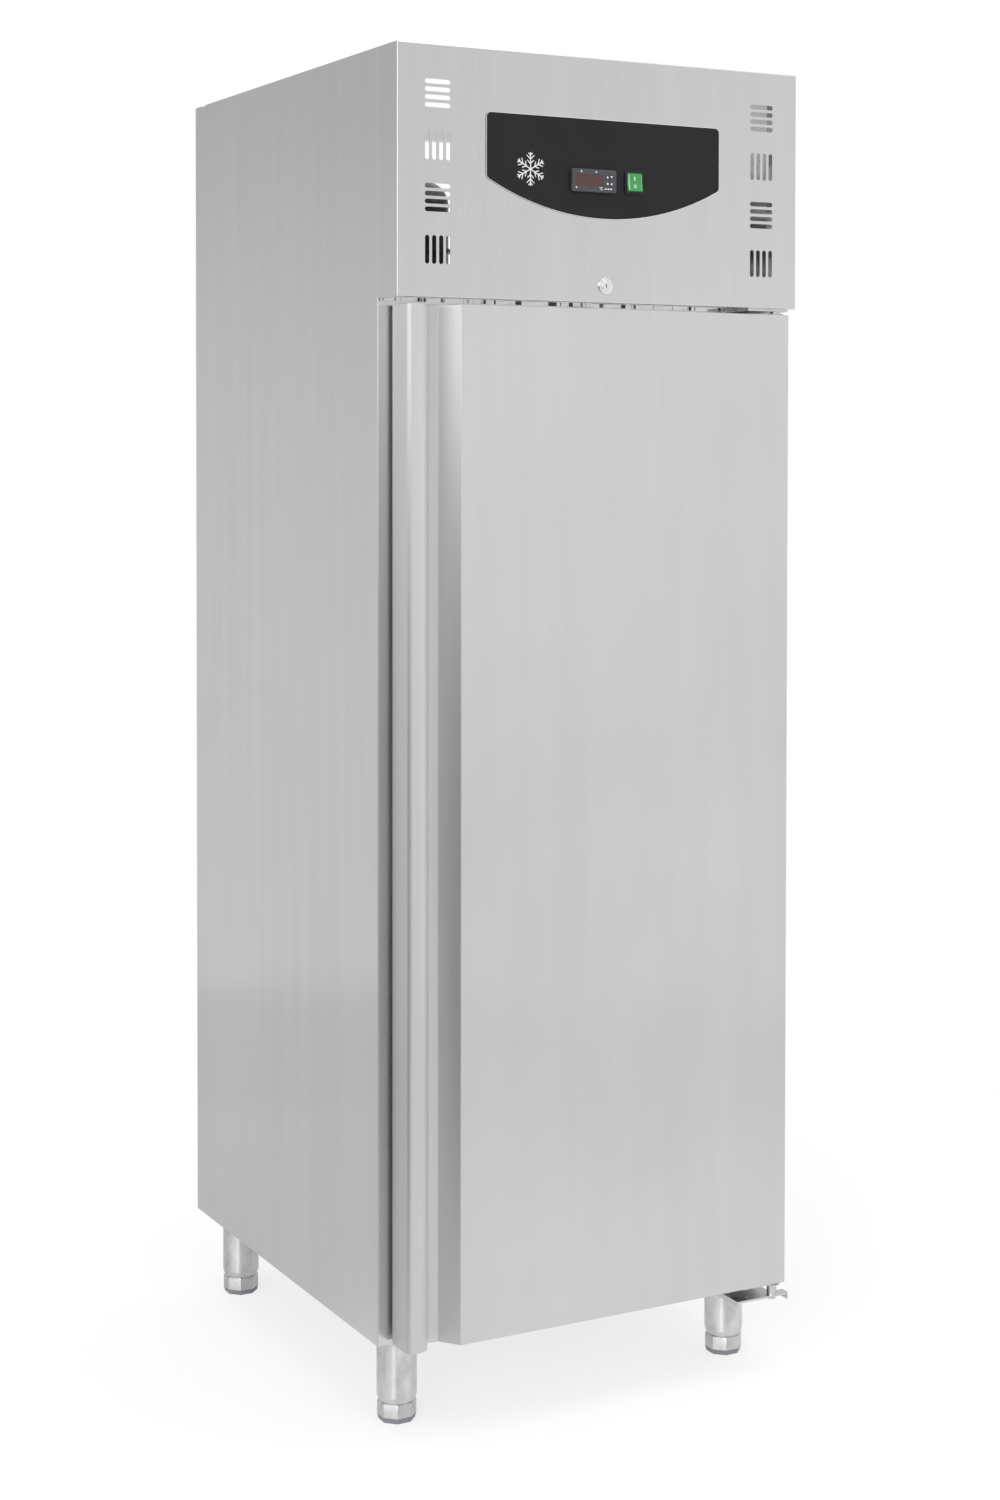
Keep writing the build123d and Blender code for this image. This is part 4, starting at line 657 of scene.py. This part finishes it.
# Door skin: the plan of the door with its handle nose and valley, drawn up the door's height
doorLook = {
    "corners": (  # x, y, radius
        (-321, -339.35, 2.0), (-321, -393.35, 8.0), (-291, -393.35, 20.0), (-275, -363.35, 3.0),
        (-259, -363.35, 3.0), (-236.5, -393.35, 2.0), (330, -393.35, 2.0), (330, -339.35, 2.0),
    ),
    "fold": 12.0,  # return onto the back of the door
    "low": 134.5,
    "high": 1641.0,
    "edge": 0.4,  # height of the first and last strip, which keep the skin's shading upright
    "levels": 7,
    "arcSteps": 14,
}


def addDoorSkin(look):
    # rounded plan outline on one level, repeated on a few levels, then given its thickness inwards
    corners, fold = look["corners"], look["fold"]
    start = (corners[0][0] + fold, corners[0][1], 0)
    stop = (corners[-1][0] - fold, corners[-1][1], 0)
    path = guarded(roundedPath((start,) + corners + (stop,), steps=look["arcSteps"]))
    low, high, edge = look["low"], look["high"], look["edge"]
    levels = np.concatenate([[low], np.linspace(low + edge, high - edge, look["levels"]), [high]])
    points = np.concatenate([np.column_stack([path, np.full(len(path), z)]) for z in levels])
    faces = gridFaces(len(levels), len(path))
    skin = newPiece("doorSkin", points, faces, "doorSteel", "door", ["door_skin"], outward=False)
    thick = skin.modifiers.new("thickness", "SOLIDIFY")
    thick.thickness = sheet * mm
    thick.offset = -1


addDoorSkin(doorLook)


# Front frame: flat plate round the opening, made anew so that its rounded corners are smooth
frameLook = {
    "half": 337.0,
    "opening": (280.0, 190.0, 1590.0, 15.0),  # half width, low, high, corner radius
    "arcSteps": 8,
}


def straightOut(values, low, high, lowEdge, highEdge):
    # values up to low go to one edge, values from high to the other, the rest stay
    return np.where(values <= low, lowEdge, np.where(values >= high, highEdge, values))


def addFrontFrame(look):
    # ring between the rounded opening and the frame's outline, with walls along both edges; each
    # outline point lies straight out from a point of the opening
    half, low, high, radius = look["opening"]
    side = look["half"]
    corners = [(-half, low, radius), (half, low, radius), (half, high, radius), (-half, high, radius)]
    inner = roundedPath(corners, closed=True, steps=look["arcSteps"])
    outer = np.column_stack([
        straightOut(inner[:, 0], radius - half, half - radius, -side, side),
        straightOut(inner[:, 1], low + radius, high - radius, base, deck),
    ])
    depths = (face, face + sheet)
    ring = np.concatenate([inner, outer])
    grids = [standing(ring, y) for y in depths]
    grids += [np.concatenate([standing(edge, y) for y in depths]) for edge in (inner, outer)]
    quads = gridFaces(2, len(inner), closedColumns=True)
    points, faces = joined([(grid, quads) for grid in grids])
    newPiece("frontFrame", points, faces, "panelSteel", "cabinet", ["front_frame"])


addFrontFrame(frameLook)
print("door skin and front frame made")


# Legs: round tubes with a chamfered lower end, on eight-sided levelling feet with plastic caps
legLook = {
    "radius": 30.0,
    "wall": 1.5,
    "low": 29.0,
    "chamfer": (3.0, 9.0),
    "roundings": (0.8, 4.0),  # at the chamfer's lower and upper end
    "plug": 12.0,  # height of the threaded plug in the lower end
    "plate": 4.0,
    "stud": (6.0, 14.0),
    "stem": (12.0, 27.7, 75.0, 1.0),  # radius, low, high, chamfer
    "stemSegments": 48,
    "clearance": 0.05,
    # rings of the grip and the cap: half across the flats, height, corner radius
    "gripRings": ((27.0, 8.0, 1.6), (27.0, 27.5, 1.6), (26.58, 28.28, 1.4), (25.8, 28.7, 1.2)),
    "capRings": ((25.0, 0.0, 1.0), (25.2, 0.6, 1.4), (26.9, 7.6, 1.6), (26.5, 8.0, 1.6)),
    "onAxis": 0.001,  # radius that stands for the axis
    "arcSteps": 5,
    "ringSteps": 4,
    "places": {
        "front_left": (-287.0, -283.35, 130.0),
        "front_right": (287.0, -283.35, 127.0),
        "rear_left": (-287.0, 337.65, 130.0),
        "rear_right": (287.0, 337.65, 130.0),
    },
}


def octagonStack(rings, centre, steps):
    # eight-sided rings (half across the flats, height, corner radius), each with rounded corners
    # at half across the flats over the cosine of an eighth of a half turn
    turns = [math.pi / 8 + k * math.pi / 4 for k in range(8)]
    shapes = []
    for flat, height, radius in rings:
        reach = flat / math.cos(math.pi / 8)
        corners = [(reach * math.cos(turn), reach * math.sin(turn), radius) for turn in turns]
        outline = roundedPath(corners, closed=True, steps=steps) + centre
        shapes.append(np.column_stack([outline, np.full(len(outline), height)]))
    return shutStack(shapes)


def legProfile(look, high):
    # the tube's wall with its chamfer and plug, the plate in its top and the stud, as one outline
    radius, low, axis = look["radius"], look["low"], look["onAxis"]
    inset, rise = look["chamfer"]
    lowRound, highRound = look["roundings"]
    studRadius, studLength = look["stud"]
    hole = look["stem"][0] + look["clearance"]
    inside = radius - look["wall"]
    studTop = base + studLength
    return roundedPath([
        (hole, low, 0), (radius - inset, low, lowRound), (radius, low + rise, highRound),
        (radius, high, 0), (studRadius, high, 0), (studRadius, studTop, lowRound), (axis, studTop, 0),
        (axis, high - look["plate"], 0), (inside, high - look["plate"], 0),
        (inside, low + look["plug"], 0), (hole, low + look["plug"], 0),
    ], steps=look["arcSteps"])


def addLegs(look):
    # each tube is its profile turned about its axis; grips and caps are stacks of rings
    radius, low, high, chamfer = look["stem"]
    axis = look["onAxis"]
    stemProfile = [
        (axis, low), (radius, low), (radius, high - chamfer), (radius - chamfer, high), (axis, high),
    ]
    for corner, (x, y, top) in look["places"].items():
        points, faces = revolved(legProfile(look, top), (x, y, 0))
        newPiece("leg_" + corner, points, faces, "legSteel", "cabinet", ["legs"])
        body = "foot_" + corner
        grip = octagonStack(look["gripRings"], (x, y), look["ringSteps"])
        stem = revolved(stemProfile, (x, y, 0), segments=look["stemSegments"])
        points, faces = joined([grip, stem])
        newPiece("grip_" + corner, points, faces, "footSteel", body, ["foot_" + corner])
        points, faces = octagonStack(look["capRings"], (x, y), look["ringSteps"])
        newPiece("floorCap_" + corner, points, faces, "footPlastic", body, ["foot_cap_" + corner])


addLegs(legLook)
print("legs and levelling feet made")


# Snowflake on the control plate
flakeLook = {
    "depths": (-397.61, -397.55),
    "middle": (-126.5, 1840.7),
    "shape": {
        "reach": 24.5,
        "bar": 0.8,  # half width of an arm
        "branches": ((8.0, 7.4), (14.4, 8.4), (20.2, 4.6)),  # place along an arm and length
        "branchBar": 0.7,
        "lean": 47.0,  # degrees between an arm and its branches
    },
}


def flakeOutline(reach, bar, branches, branchBar, lean, tip=0.35):
    # half an arm in (along, across), mirrored to a whole arm and turned six times; neighbouring
    # arms meet at the root of three half widths from the middle
    along, across = math.cos(math.radians(lean)), math.sin(math.radians(lean))
    half = [(bar * math.sqrt(3), bar)]
    for place, length in branches:
        near = (bar - branchBar * along) / across
        far = (bar + branchBar * along) / across
        for side, run in ((1, near), (1, length), (-1, length), (-1, far)):
            shift = side * branchBar
            half.append((place - shift * across + run * along, shift * along + run * across))
    half += [(reach - bar, bar), (reach, tip * bar)]
    half = np.array(half)
    arm = np.concatenate([half * (1, -1), half[::-1][:-1]])
    turned = []
    for turn in (math.pi / 2 + k * math.pi / 3 for k in range(6)):
        turned.append(arm @ [[math.cos(turn), math.sin(turn)], [-math.sin(turn), math.cos(turn)]])
    return np.concatenate(turned)


def addSnowflake(look):
    # a thin solid on the plate's face
    points, faces = prism(flakeOutline(**look["shape"]) + look["middle"], *look["depths"])
    newPiece("snowflake", points, faces, "whitePrint", "cabinet")


addSnowflake(flakeLook)


# Bare cut edge of the control plate, which catches the light all round it
plateRimLook = {
    "half": 199.0,
    "top": 1920.0,
    "side": 1825.0,
    "sag": 52.0,  # how far the bowed lower edge drops below the sides
    "radius": 8.0,
    "width": 0.9,
    "depths": (-397.50, -397.61),
    "bowSteps": 41,
    "arcSteps": 8,
}


def insetPath(path, distance):
    # closed path that runs counter-clockwise, moved inwards across its neighbours' direction
    along = np.roll(path, -1, axis=0) - np.roll(path, 1, axis=0)
    along /= np.linalg.norm(along, axis=1, keepdims=True)
    return path + distance * np.column_stack([-along[:, 1], along[:, 0]])


def addPlateRim(look):
    # lower edge as an arc whose radius is (half width squared + sag squared) / twice the sag,
    # closed by the sides and the straight top
    half, side, sag, radius = look["half"], look["side"], look["sag"], look["radius"]
    bowRadius = (half ** 2 + sag ** 2) / (2 * sag)
    reach = math.asin(half / bowRadius)
    corners = [(-half, side, radius)]
    for turn in np.linspace(-reach, reach, look["bowSteps"])[1:-1]:
        corners.append((bowRadius * math.sin(turn), side - sag + bowRadius * (1 - math.cos(turn)), 0))
    corners += [(half, side, radius), (half, look["top"], radius), (-half, look["top"], radius)]
    outline = roundedPath(corners, closed=True, steps=look["arcSteps"])
    inner = insetPath(outline, look["width"])
    back, front = look["depths"]
    sections = ((outline, back), (outline, front), (inner, front), (inner, back))
    rows = [standing(path, depth) for path, depth in sections]
    faces = gridFaces(len(rows), len(outline), closedRows=True, closedColumns=True)
    newPiece("plateRim", np.concatenate(rows), faces, "cutEdge", "cabinet")


addPlateRim(plateRimLook)


# Controller: lamps, degree sign and ticks on its face, soft keys with signs, unlit digits
controllerLook = {
    "face": (-403.13, -403.05),  # depths of the marks
    "lamps": ((-44.6, 1841.7), (-19.4, 1841.7), (-52.9, 1817.7)),
    "lampRadius": 1.25,
    "lampSides": 24,
    "degree": ((-13.2, 1819.3), 0.8, 0.4),  # middle, outer and inner radius
    "celsius": ((-9.6, 1817.6), 2.2, 1.5),
    "celsiusArc": (45, 315),
    "ticks": (-4.0, 1817.4, 2.6, 5),  # first, height, pitch, count
    "tick": (1.5, 2.2, 0.5),  # width, height, how much shorter every second one is
}
keyLook = {
    "keys": {
        "up_key": (-0.4, 1835.1), "down_key": (6.4, 1835.1),
        "set_key": (-0.4, 1825.0), "defrost_key": (6.4, 1825.0),
    },
    "size": (5.4, 6.2, 0.8),  # width, height, corner radius
    "rings": ((0.0, -401.6), (0.0, -403.2), (0.10, -403.42), (0.40, -403.57)),  # inset and depth
    "arcSteps": 6,
    "guard": 0.1,  # gap of the points that keep the sides flat
    "signs": (-403.65, -403.57),  # depths of the signs
    "half": 1.7,  # half a sign's size
    "setRing": 0.935,  # inner radius of the ring
    "setBar": (0.6, 1.7),
    "flake": {"reach": 1.955, "bar": 0.22, "branches": ((0.95, 0.75),), "branchBar": 0.18, "lean": 50.0},
}
digitLook = {
    "depths": (-402.68, -402.65),
    "columns": (-46.2, -32.4, -18.6),
    "middle": 1829.0,
    "size": (7.6, 13.0, 1.3),  # width, height, bar
    "lean": 0.12,
}


def cushion(middle, look):
    # rounded rectangles stacked by inset and depth, shut at both ends, as a soft key
    width, height, radius = look["size"]
    rings = []
    for inset, depth in look["rings"]:
        w, h = width / 2 - inset, height / 2 - inset
        corners = [(-w, -h, radius), (w, -h, radius), (w, h, radius), (-w, h, radius)]
        outline = roundedPath(corners, closed=True, steps=look["arcSteps"])
        outline = guarded(outline, closed=True, gap=look["guard"])
        rings.append(standing(outline + middle, depth))
    return shutStack(rings)


def ringShape(middle, outer, inner, low, high, tall=1.0, arc=(0, 360)):
    # band between two ovals, whole or open, carried from one depth to another
    start, stop = arc
    closed = stop - start >= 360
    angle = np.radians(np.linspace(start, stop, ringSteps, endpoint=not closed))
    oval = np.column_stack([np.cos(angle), tall * np.sin(angle)])
    sections = ((outer, low), (outer, high), (inner, high), (inner, low))
    rows = [standing(radius * oval + middle, depth) for radius, depth in sections]
    count = len(angle)
    faces = [list(f) for f in gridFaces(4, count, closedRows=True, closedColumns=closed)]
    if not closed:
        faces += [[k * count for k in range(4)], [count - 1 + k * count for k in (3, 2, 1, 0)]]
    return np.concatenate(rows), faces


def addControllerMarks(look):
    # discs, a whole ring, an open ring and a row of bars, all thin
    depths = look["face"]
    shapes = []
    for place in look["lamps"]:
        shapes.append(prism(circleOutline(place, look["lampRadius"], look["lampSides"]), *depths))
    shapes.append(ringShape(*look["degree"], *depths))
    shapes.append(ringShape(*look["celsius"], *depths, arc=look["celsiusArc"]))
    first, z, pitch, count = look["ticks"]
    width, height, shorter = look["tick"]
    for k in range(count):
        outline = barOutline((first + k * pitch, z), width, height - shorter * (k % 2))
        shapes.append(prism(outline, *depths))
    points, faces = joined(shapes)
    newPiece("controllerMarks", points, faces, "whitePrint", "cabinet")


def addKeys(look):
    # a cushion for each key
    for body, place in look["keys"].items():
        points, faces = cushion(place, look)
        node = "key_" + body.split("_")[0]
        newPiece(body + "Cap", points, faces, "keyRubber", body, [node])


def addKeySigns(look):
    # arrows up and down, a ring with a bar, and a small flake
    depths = look["signs"]
    half = look["half"]
    signs = {
        "up_key": [prism([(-half, -half), (half, -half), (0, half)], *depths)],
        "down_key": [prism([(-half, half), (0, -half), (half, half)], *depths)],
        "set_key": [
            ringShape((0, 0), half, look["setRing"], *depths),
            prism(barOutline((0, 0), *look["setBar"]), *depths),
        ],
        "defrost_key": [prism(flakeOutline(**look["flake"]), *depths)],
    }
    for body, (x, z) in look["keys"].items():
        points, faces = joined(signs[body])
        newPiece(body + "Sign", points + (x, 0, z), faces, "whitePrint", body)


def addUnlitDigits(look):
    # seven bars to a digit, each a six-sided strip, leaning a little to the right
    wide, tall, bar = look["size"]
    places = [(0, k * tall / 2, wide - bar, False) for k in (-1, 0, 1)]
    places += [(side * wide / 2, k * tall / 4, tall / 2 - bar, True) for side in (-1, 1) for k in (-1, 1)]
    shapes = []
    for middle in look["columns"]:
        for x, z, length, upright in places:
            end, edge = length / 2, bar / 2
            flat = end - edge
            strip = [(-end, 0), (-flat, -edge), (flat, -edge), (end, 0), (flat, edge), (-flat, edge)]
            strip = np.array(strip)
            if upright:
                strip = strip[:, ::-1] * (1, -1)
            strip = strip + (x, z)
            strip[:, 0] += look["lean"] * strip[:, 1] + middle
            strip[:, 1] += look["middle"]
            shapes.append(prism(strip, *look["depths"]))
    points, faces = joined(shapes)
    newPiece("unlitDigits", points, faces, "ghostDigit", "cabinet")


addControllerMarks(controllerLook)
addKeys(keyLook)
addKeySigns(keyLook)
addUnlitDigits(digitLook)


# Rocker switch: a bar and a ring on its two faces, and a moulded rim at each side, whose pale colour at
# the left and grey at the right are painted highlights
rockerLook = {
    "middle": (48.0, 1829.8),
    "depths": (-400.65, -400.55),
    "lean": 12.0,  # degrees that the lower half stands out
    "bar": (1.6, 6.2, 5.6),  # width, height, place above the middle
    "ring": (2.3, 1.45, -5.8, 1.15),  # outer and inner radius, place, height over width
    # the rims' colours are painted highlights on the rocker's edges
    "rims": {"paintedHighlightRim": (-9.9, 1.1, 22.0), "paintedDimHighlightRim": (11.4, 1.3, 20.0)},  # place, width, height
}


def addRockerMarks(look):
    # flat marks leaned onto the two faces of the rocker: depth grows with the drop below the middle
    x, z = look["middle"]
    depths = look["depths"]
    width, height, rise = look["bar"]
    outer, inner, drop, tall = look["ring"]
    bar = prism(barOutline((x, z + rise), width, height), *depths)
    ring = ringShape((x, z + drop), outer, inner, *depths, tall=tall)
    pieces = [("rockerMarks", "whitePrint", [bar, ring])]
    for name, (place, width, height) in look["rims"].items():
        halves = [barOutline((x + place, z + side * height / 4), width, height / 2) for side in (1, -1)]
        pieces.append((name, name, [prism(outline, *depths) for outline in halves]))
    for name, finish, shapes in pieces:
        points, faces = joined(shapes)
        points[:, 1] -= math.tan(math.radians(look["lean"])) * np.maximum(0, z - points[:, 2])
        newPiece(name, points, faces, finish, "switch")


addRockerMarks(rockerLook)


# Lock: rounded ring in front of a straight barrel
lockLook = {
    "height": 1675.0,
    "radius": 12.0,
    "stand": 3.0,
    "rounding": 1.4,
    "body": (10.5, 22.0),  # radius and length behind the panel
    "bore": (7.65, 8.05),  # radius and width of its front edge's start
    "taper": 0.2,
    "arcSteps": 6,
    "segments": 72,
}


def addLockBarrel(look):
    # its profile turned about the lock's axis
    radius, front = look["radius"], head - look["stand"]
    bodyRadius, length = look["body"]
    bore, edge = look["bore"]
    profile = roundedPath([
        (bore, front, 0), (edge, front, 0), (radius - look["taper"], front, look["rounding"]),
        (radius, head, 0), (bodyRadius, head, 0), (bodyRadius, head + length, 0), (bore, head + length, 0),
    ], steps=look["arcSteps"])
    points, faces = revolved(profile, (0, 0, look["height"]), "y", look["segments"])
    newPiece("lockRing", points, faces, "lockChrome", "cabinet", ["lock_barrel"])


addLockBarrel(lockLook)
print("marks, signs and lock ring made")


# Studio as brightness over direction: white for the camera; for light and reflections a soft room
# that is darker behind the object, with a dark flag to the left and a lamp strip above it.
# Levels are pairs of the sine of the elevation and the brightness there; fades are pairs of cosines.
studioLook = {
    "level": 0.93,
    "brightest": 14.0,
    "sines": (-0.5, 0.5),
    "flagToward": (-0.883, -0.469, 0.0),
    "flagFade": (0.84, 0.975),
    "flagLevels": (
        (-0.30, 0.45), (-0.22, 0.16), (-0.15, 0.06), (-0.09, 0.30),
        (-0.03, 0.55), (0.01, 1.0), (0.045, 2.5), (0.30, 1.8),
    ),
    "stripToward": (-0.669, -0.743, 0.0),
    "stripFade": (0.988, 0.997),
    "stripLevels": ((0.22, 1.0), (0.27, 14.0), (0.42, 14.0), (0.50, 1.0)),
    "stripAbove": (0.18, 0.24),  # sines between which the strip fades in
    "behindToward": (-0.45, 0.89, 0.0),
    "behindFade": (0.2, 0.95),
    "behindLevels": (
        (-0.35, 0.93), (-0.20, 0.88), (-0.08, 0.85), (0.0, 0.82),
        (0.06, 0.765), (0.11, 0.69), (0.145, 0.635), (0.5, 0.82),
    ),
    "rightToward": (0.80, -0.60, 0.0),
    "rightFade": (0.82, 1.0),
    "rightLevels": ((-0.40, 1.30), (0.0, 1.22), (0.05, 1.12), (0.2, 1.0), (0.5, 1.1)),
    "frontLevels": (
        (-0.40, 0.96), (-0.30, 0.92), (-0.05, 0.89), (0.05, 0.885),
        (0.10, 0.85), (0.20, 0.82), (0.5, 0.95),
    ),
}
floorLook = {
    "radii": (0.001, 1.0, 2.0, 2.8),
    "sides": 96,
    "height": -0.0002,
    "colour": 0.97,
    "share": 0.7,  # how much of the plain white shows through what the camera sees of it
    "fade": (0.8, 1.9),
    # levels of the painted shade on the floor in light and reflections: around, behind, and over distance
    # towards the flag
    "around": 0.94,
    "behind": 0.71,
    "flag": ((0.2, 0.96), (0.5, 0.80), (1.0, 0.52), (1.5, 0.36), (2.0, 0.26), (2.8, 0.18)),
    "flagSpan": (0, 3),  # distances that the pairs of distance and brightness are drawn over
}
lampLook = {"place": (0.2, -0.4, 5.2), "aim": (0, 0, 1.0), "size": (3.0, 3.0), "power": 60}


def levelRamp(tree, value, levels, span, brightest):
    # brightness over a value, straight between the given levels, as a share of the brightest
    low, high = span
    ramp = addNode(tree, "ValToRGB", {"Fac": ranged(tree, value, low, high)})
    elements = ramp.color_ramp.elements
    elements.remove(elements[1])
    for k, (place, level) in enumerate(levels):
        position = (place - low) / (high - low)
        element = elements.new(position) if k else elements[0]
        element.position = position
        element.color = asColour(level / brightest)
    return ramp


def towardMask(tree, direction, toward, fade):
    # cosine between a level direction and one way, faded between two cosines
    flat = addNode(tree, "VectorMath", {0: direction, 1: (1, 1, 0)}, operation="MULTIPLY")
    unit = addNode(tree, "VectorMath", {0: flat}, operation="NORMALIZE")
    inputs = {0: unit, 1: Vector(toward).normalized()}
    dot = addNode(tree, "VectorMath", inputs, operation="DOT_PRODUCT")
    return ranged(tree, dot.outputs["Value"], *fade, kind="SMOOTHSTEP")


def floorMaterial(look, studio):
    # a matte grey that keeps shadows, mixed with its own glow towards the rim, for the camera and in
    # reflections;
    #     # in light and reflections it is darker behind and, with distance, towards the flag, which is
    #     painted shade, and its glow there is painted light
    material = bpy.data.materials.new("studioFloor")
    tree = emptiedTree(material)
    where = addNode(tree, "TexCoord").outputs["Object"]
    distance = addNode(tree, "VectorMath", {0: where}, operation="LENGTH").outputs["Value"]
    path = addNode(tree, "LightPath")
    camera = path.outputs["Is Camera Ray"]
    behind = towardMask(tree, where, studio["behindToward"], studio["behindFade"])
    flag = towardMask(tree, where, studio["flagToward"], studio["flagFade"])
    paintedFloorShade = blended(tree, behind, look["around"], look["behind"])
    paintedFloorShade = blended(tree, flag, paintedFloorShade, levelRamp(tree, distance, look["flag"], look["flagSpan"], 1.0))
    paintedFloorShade = blended(tree, camera, paintedFloorShade, 1.0)
    grey = blended(tree, camera, paintedFloorShade, look["colour"])
    matte = addNode(tree, "BsdfDiffuse", {"Color": grey})
    paintedGlow = addNode(tree, "Emission", {"Color": paintedFloorShade, "Strength": 1.0})
    mirrored = combine(tree, camera, path.outputs["Is Glossy Ray"], "MAXIMUM")
    seen = combine(tree, mirrored, look["share"], "MULTIPLY")
    share = combine(tree, ranged(tree, distance, *look["fade"], kind="SMOOTHSTEP"), seen, "MAXIMUM")
    mixed = addNode(tree, "MixShader", {0: share, 1: matte, 2: paintedGlow})
    addNode(tree, "OutputMaterial", {"Surface": mixed})
    return material


def addFloor(look, studio):
    # flat disc as a grid over angle and radius
    angles = np.linspace(0, 2 * np.pi, look["sides"], endpoint=False)
    radii = np.array(look["radii"])[:, None]
    points = np.stack([
        (radii * np.cos(angles)).ravel(),
        (radii * np.sin(angles)).ravel(),
        np.full(radii.size * angles.size, look["height"]),
    ], axis=1)
    faces = gridFaces(radii.size, angles.size, closedColumns=True)
    mesh = bpy.data.meshes.new("studioFloor")
    mesh.from_pydata(points.tolist(), [], faces.tolist())
    mesh.update()
    mesh.materials.append(floorMaterial(look, studio))
    floor = newObject("studioFloor", mesh)


def addWorld(look):
    # zones laid one over the other on the front's levels, each by its own mask; white for the camera
    world = bpy.data.worlds.new("studioWorld")
    bpy.context.scene.world = world
    tree = emptiedTree(world)
    direction = addNode(tree, "TexCoord").outputs["Generated"]
    sine = addNode(tree, "SeparateXYZ", {0: direction}).outputs["Z"]
    colour = levelRamp(tree, sine, look["frontLevels"], look["sines"], look["brightest"])
    for zone in ("behind", "right", "flag", "strip"):
        mask = towardMask(tree, direction, look[zone + "Toward"], look[zone + "Fade"])
        if zone == "strip":
            mask = combine(tree, mask, ranged(tree, sine, *look["stripAbove"]), "MULTIPLY")
        levels = levelRamp(tree, sine, look[zone + "Levels"], look["sines"], look["brightest"])
        colour = blended(tree, mask, colour, levels)
    strength = look["level"] * look["brightest"]
    around = addNode(tree, "Background", {"Color": colour, "Strength": strength})
    white = addNode(tree, "Background", {"Color": (1, 1, 1, 1), "Strength": 1.0})
    camera = addNode(tree, "LightPath").outputs["Is Camera Ray"]
    mixed = addNode(tree, "MixShader", {0: camera, 1: around, 2: white})
    addNode(tree, "OutputWorld", {"Surface": mixed})


def addLamp(look):
    # square soft lamp that faces its aim
    data = bpy.data.lights.new("overheadLamp", "AREA")
    data.shape = "RECTANGLE"
    data.size, data.size_y = look["size"]
    data.energy = look["power"]
    place = Vector(look["place"])
    turn = (Vector(look["aim"]) - place).to_track_quat("-Z", "Y").to_matrix().to_4x4()
    newObject("overheadLamp", data).matrix_world = Matrix.Translation(place) @ turn


addFloor(floorLook, studioLook)
addWorld(studioLook)
addLamp(lampLook)
print("floor, world and lamp made")
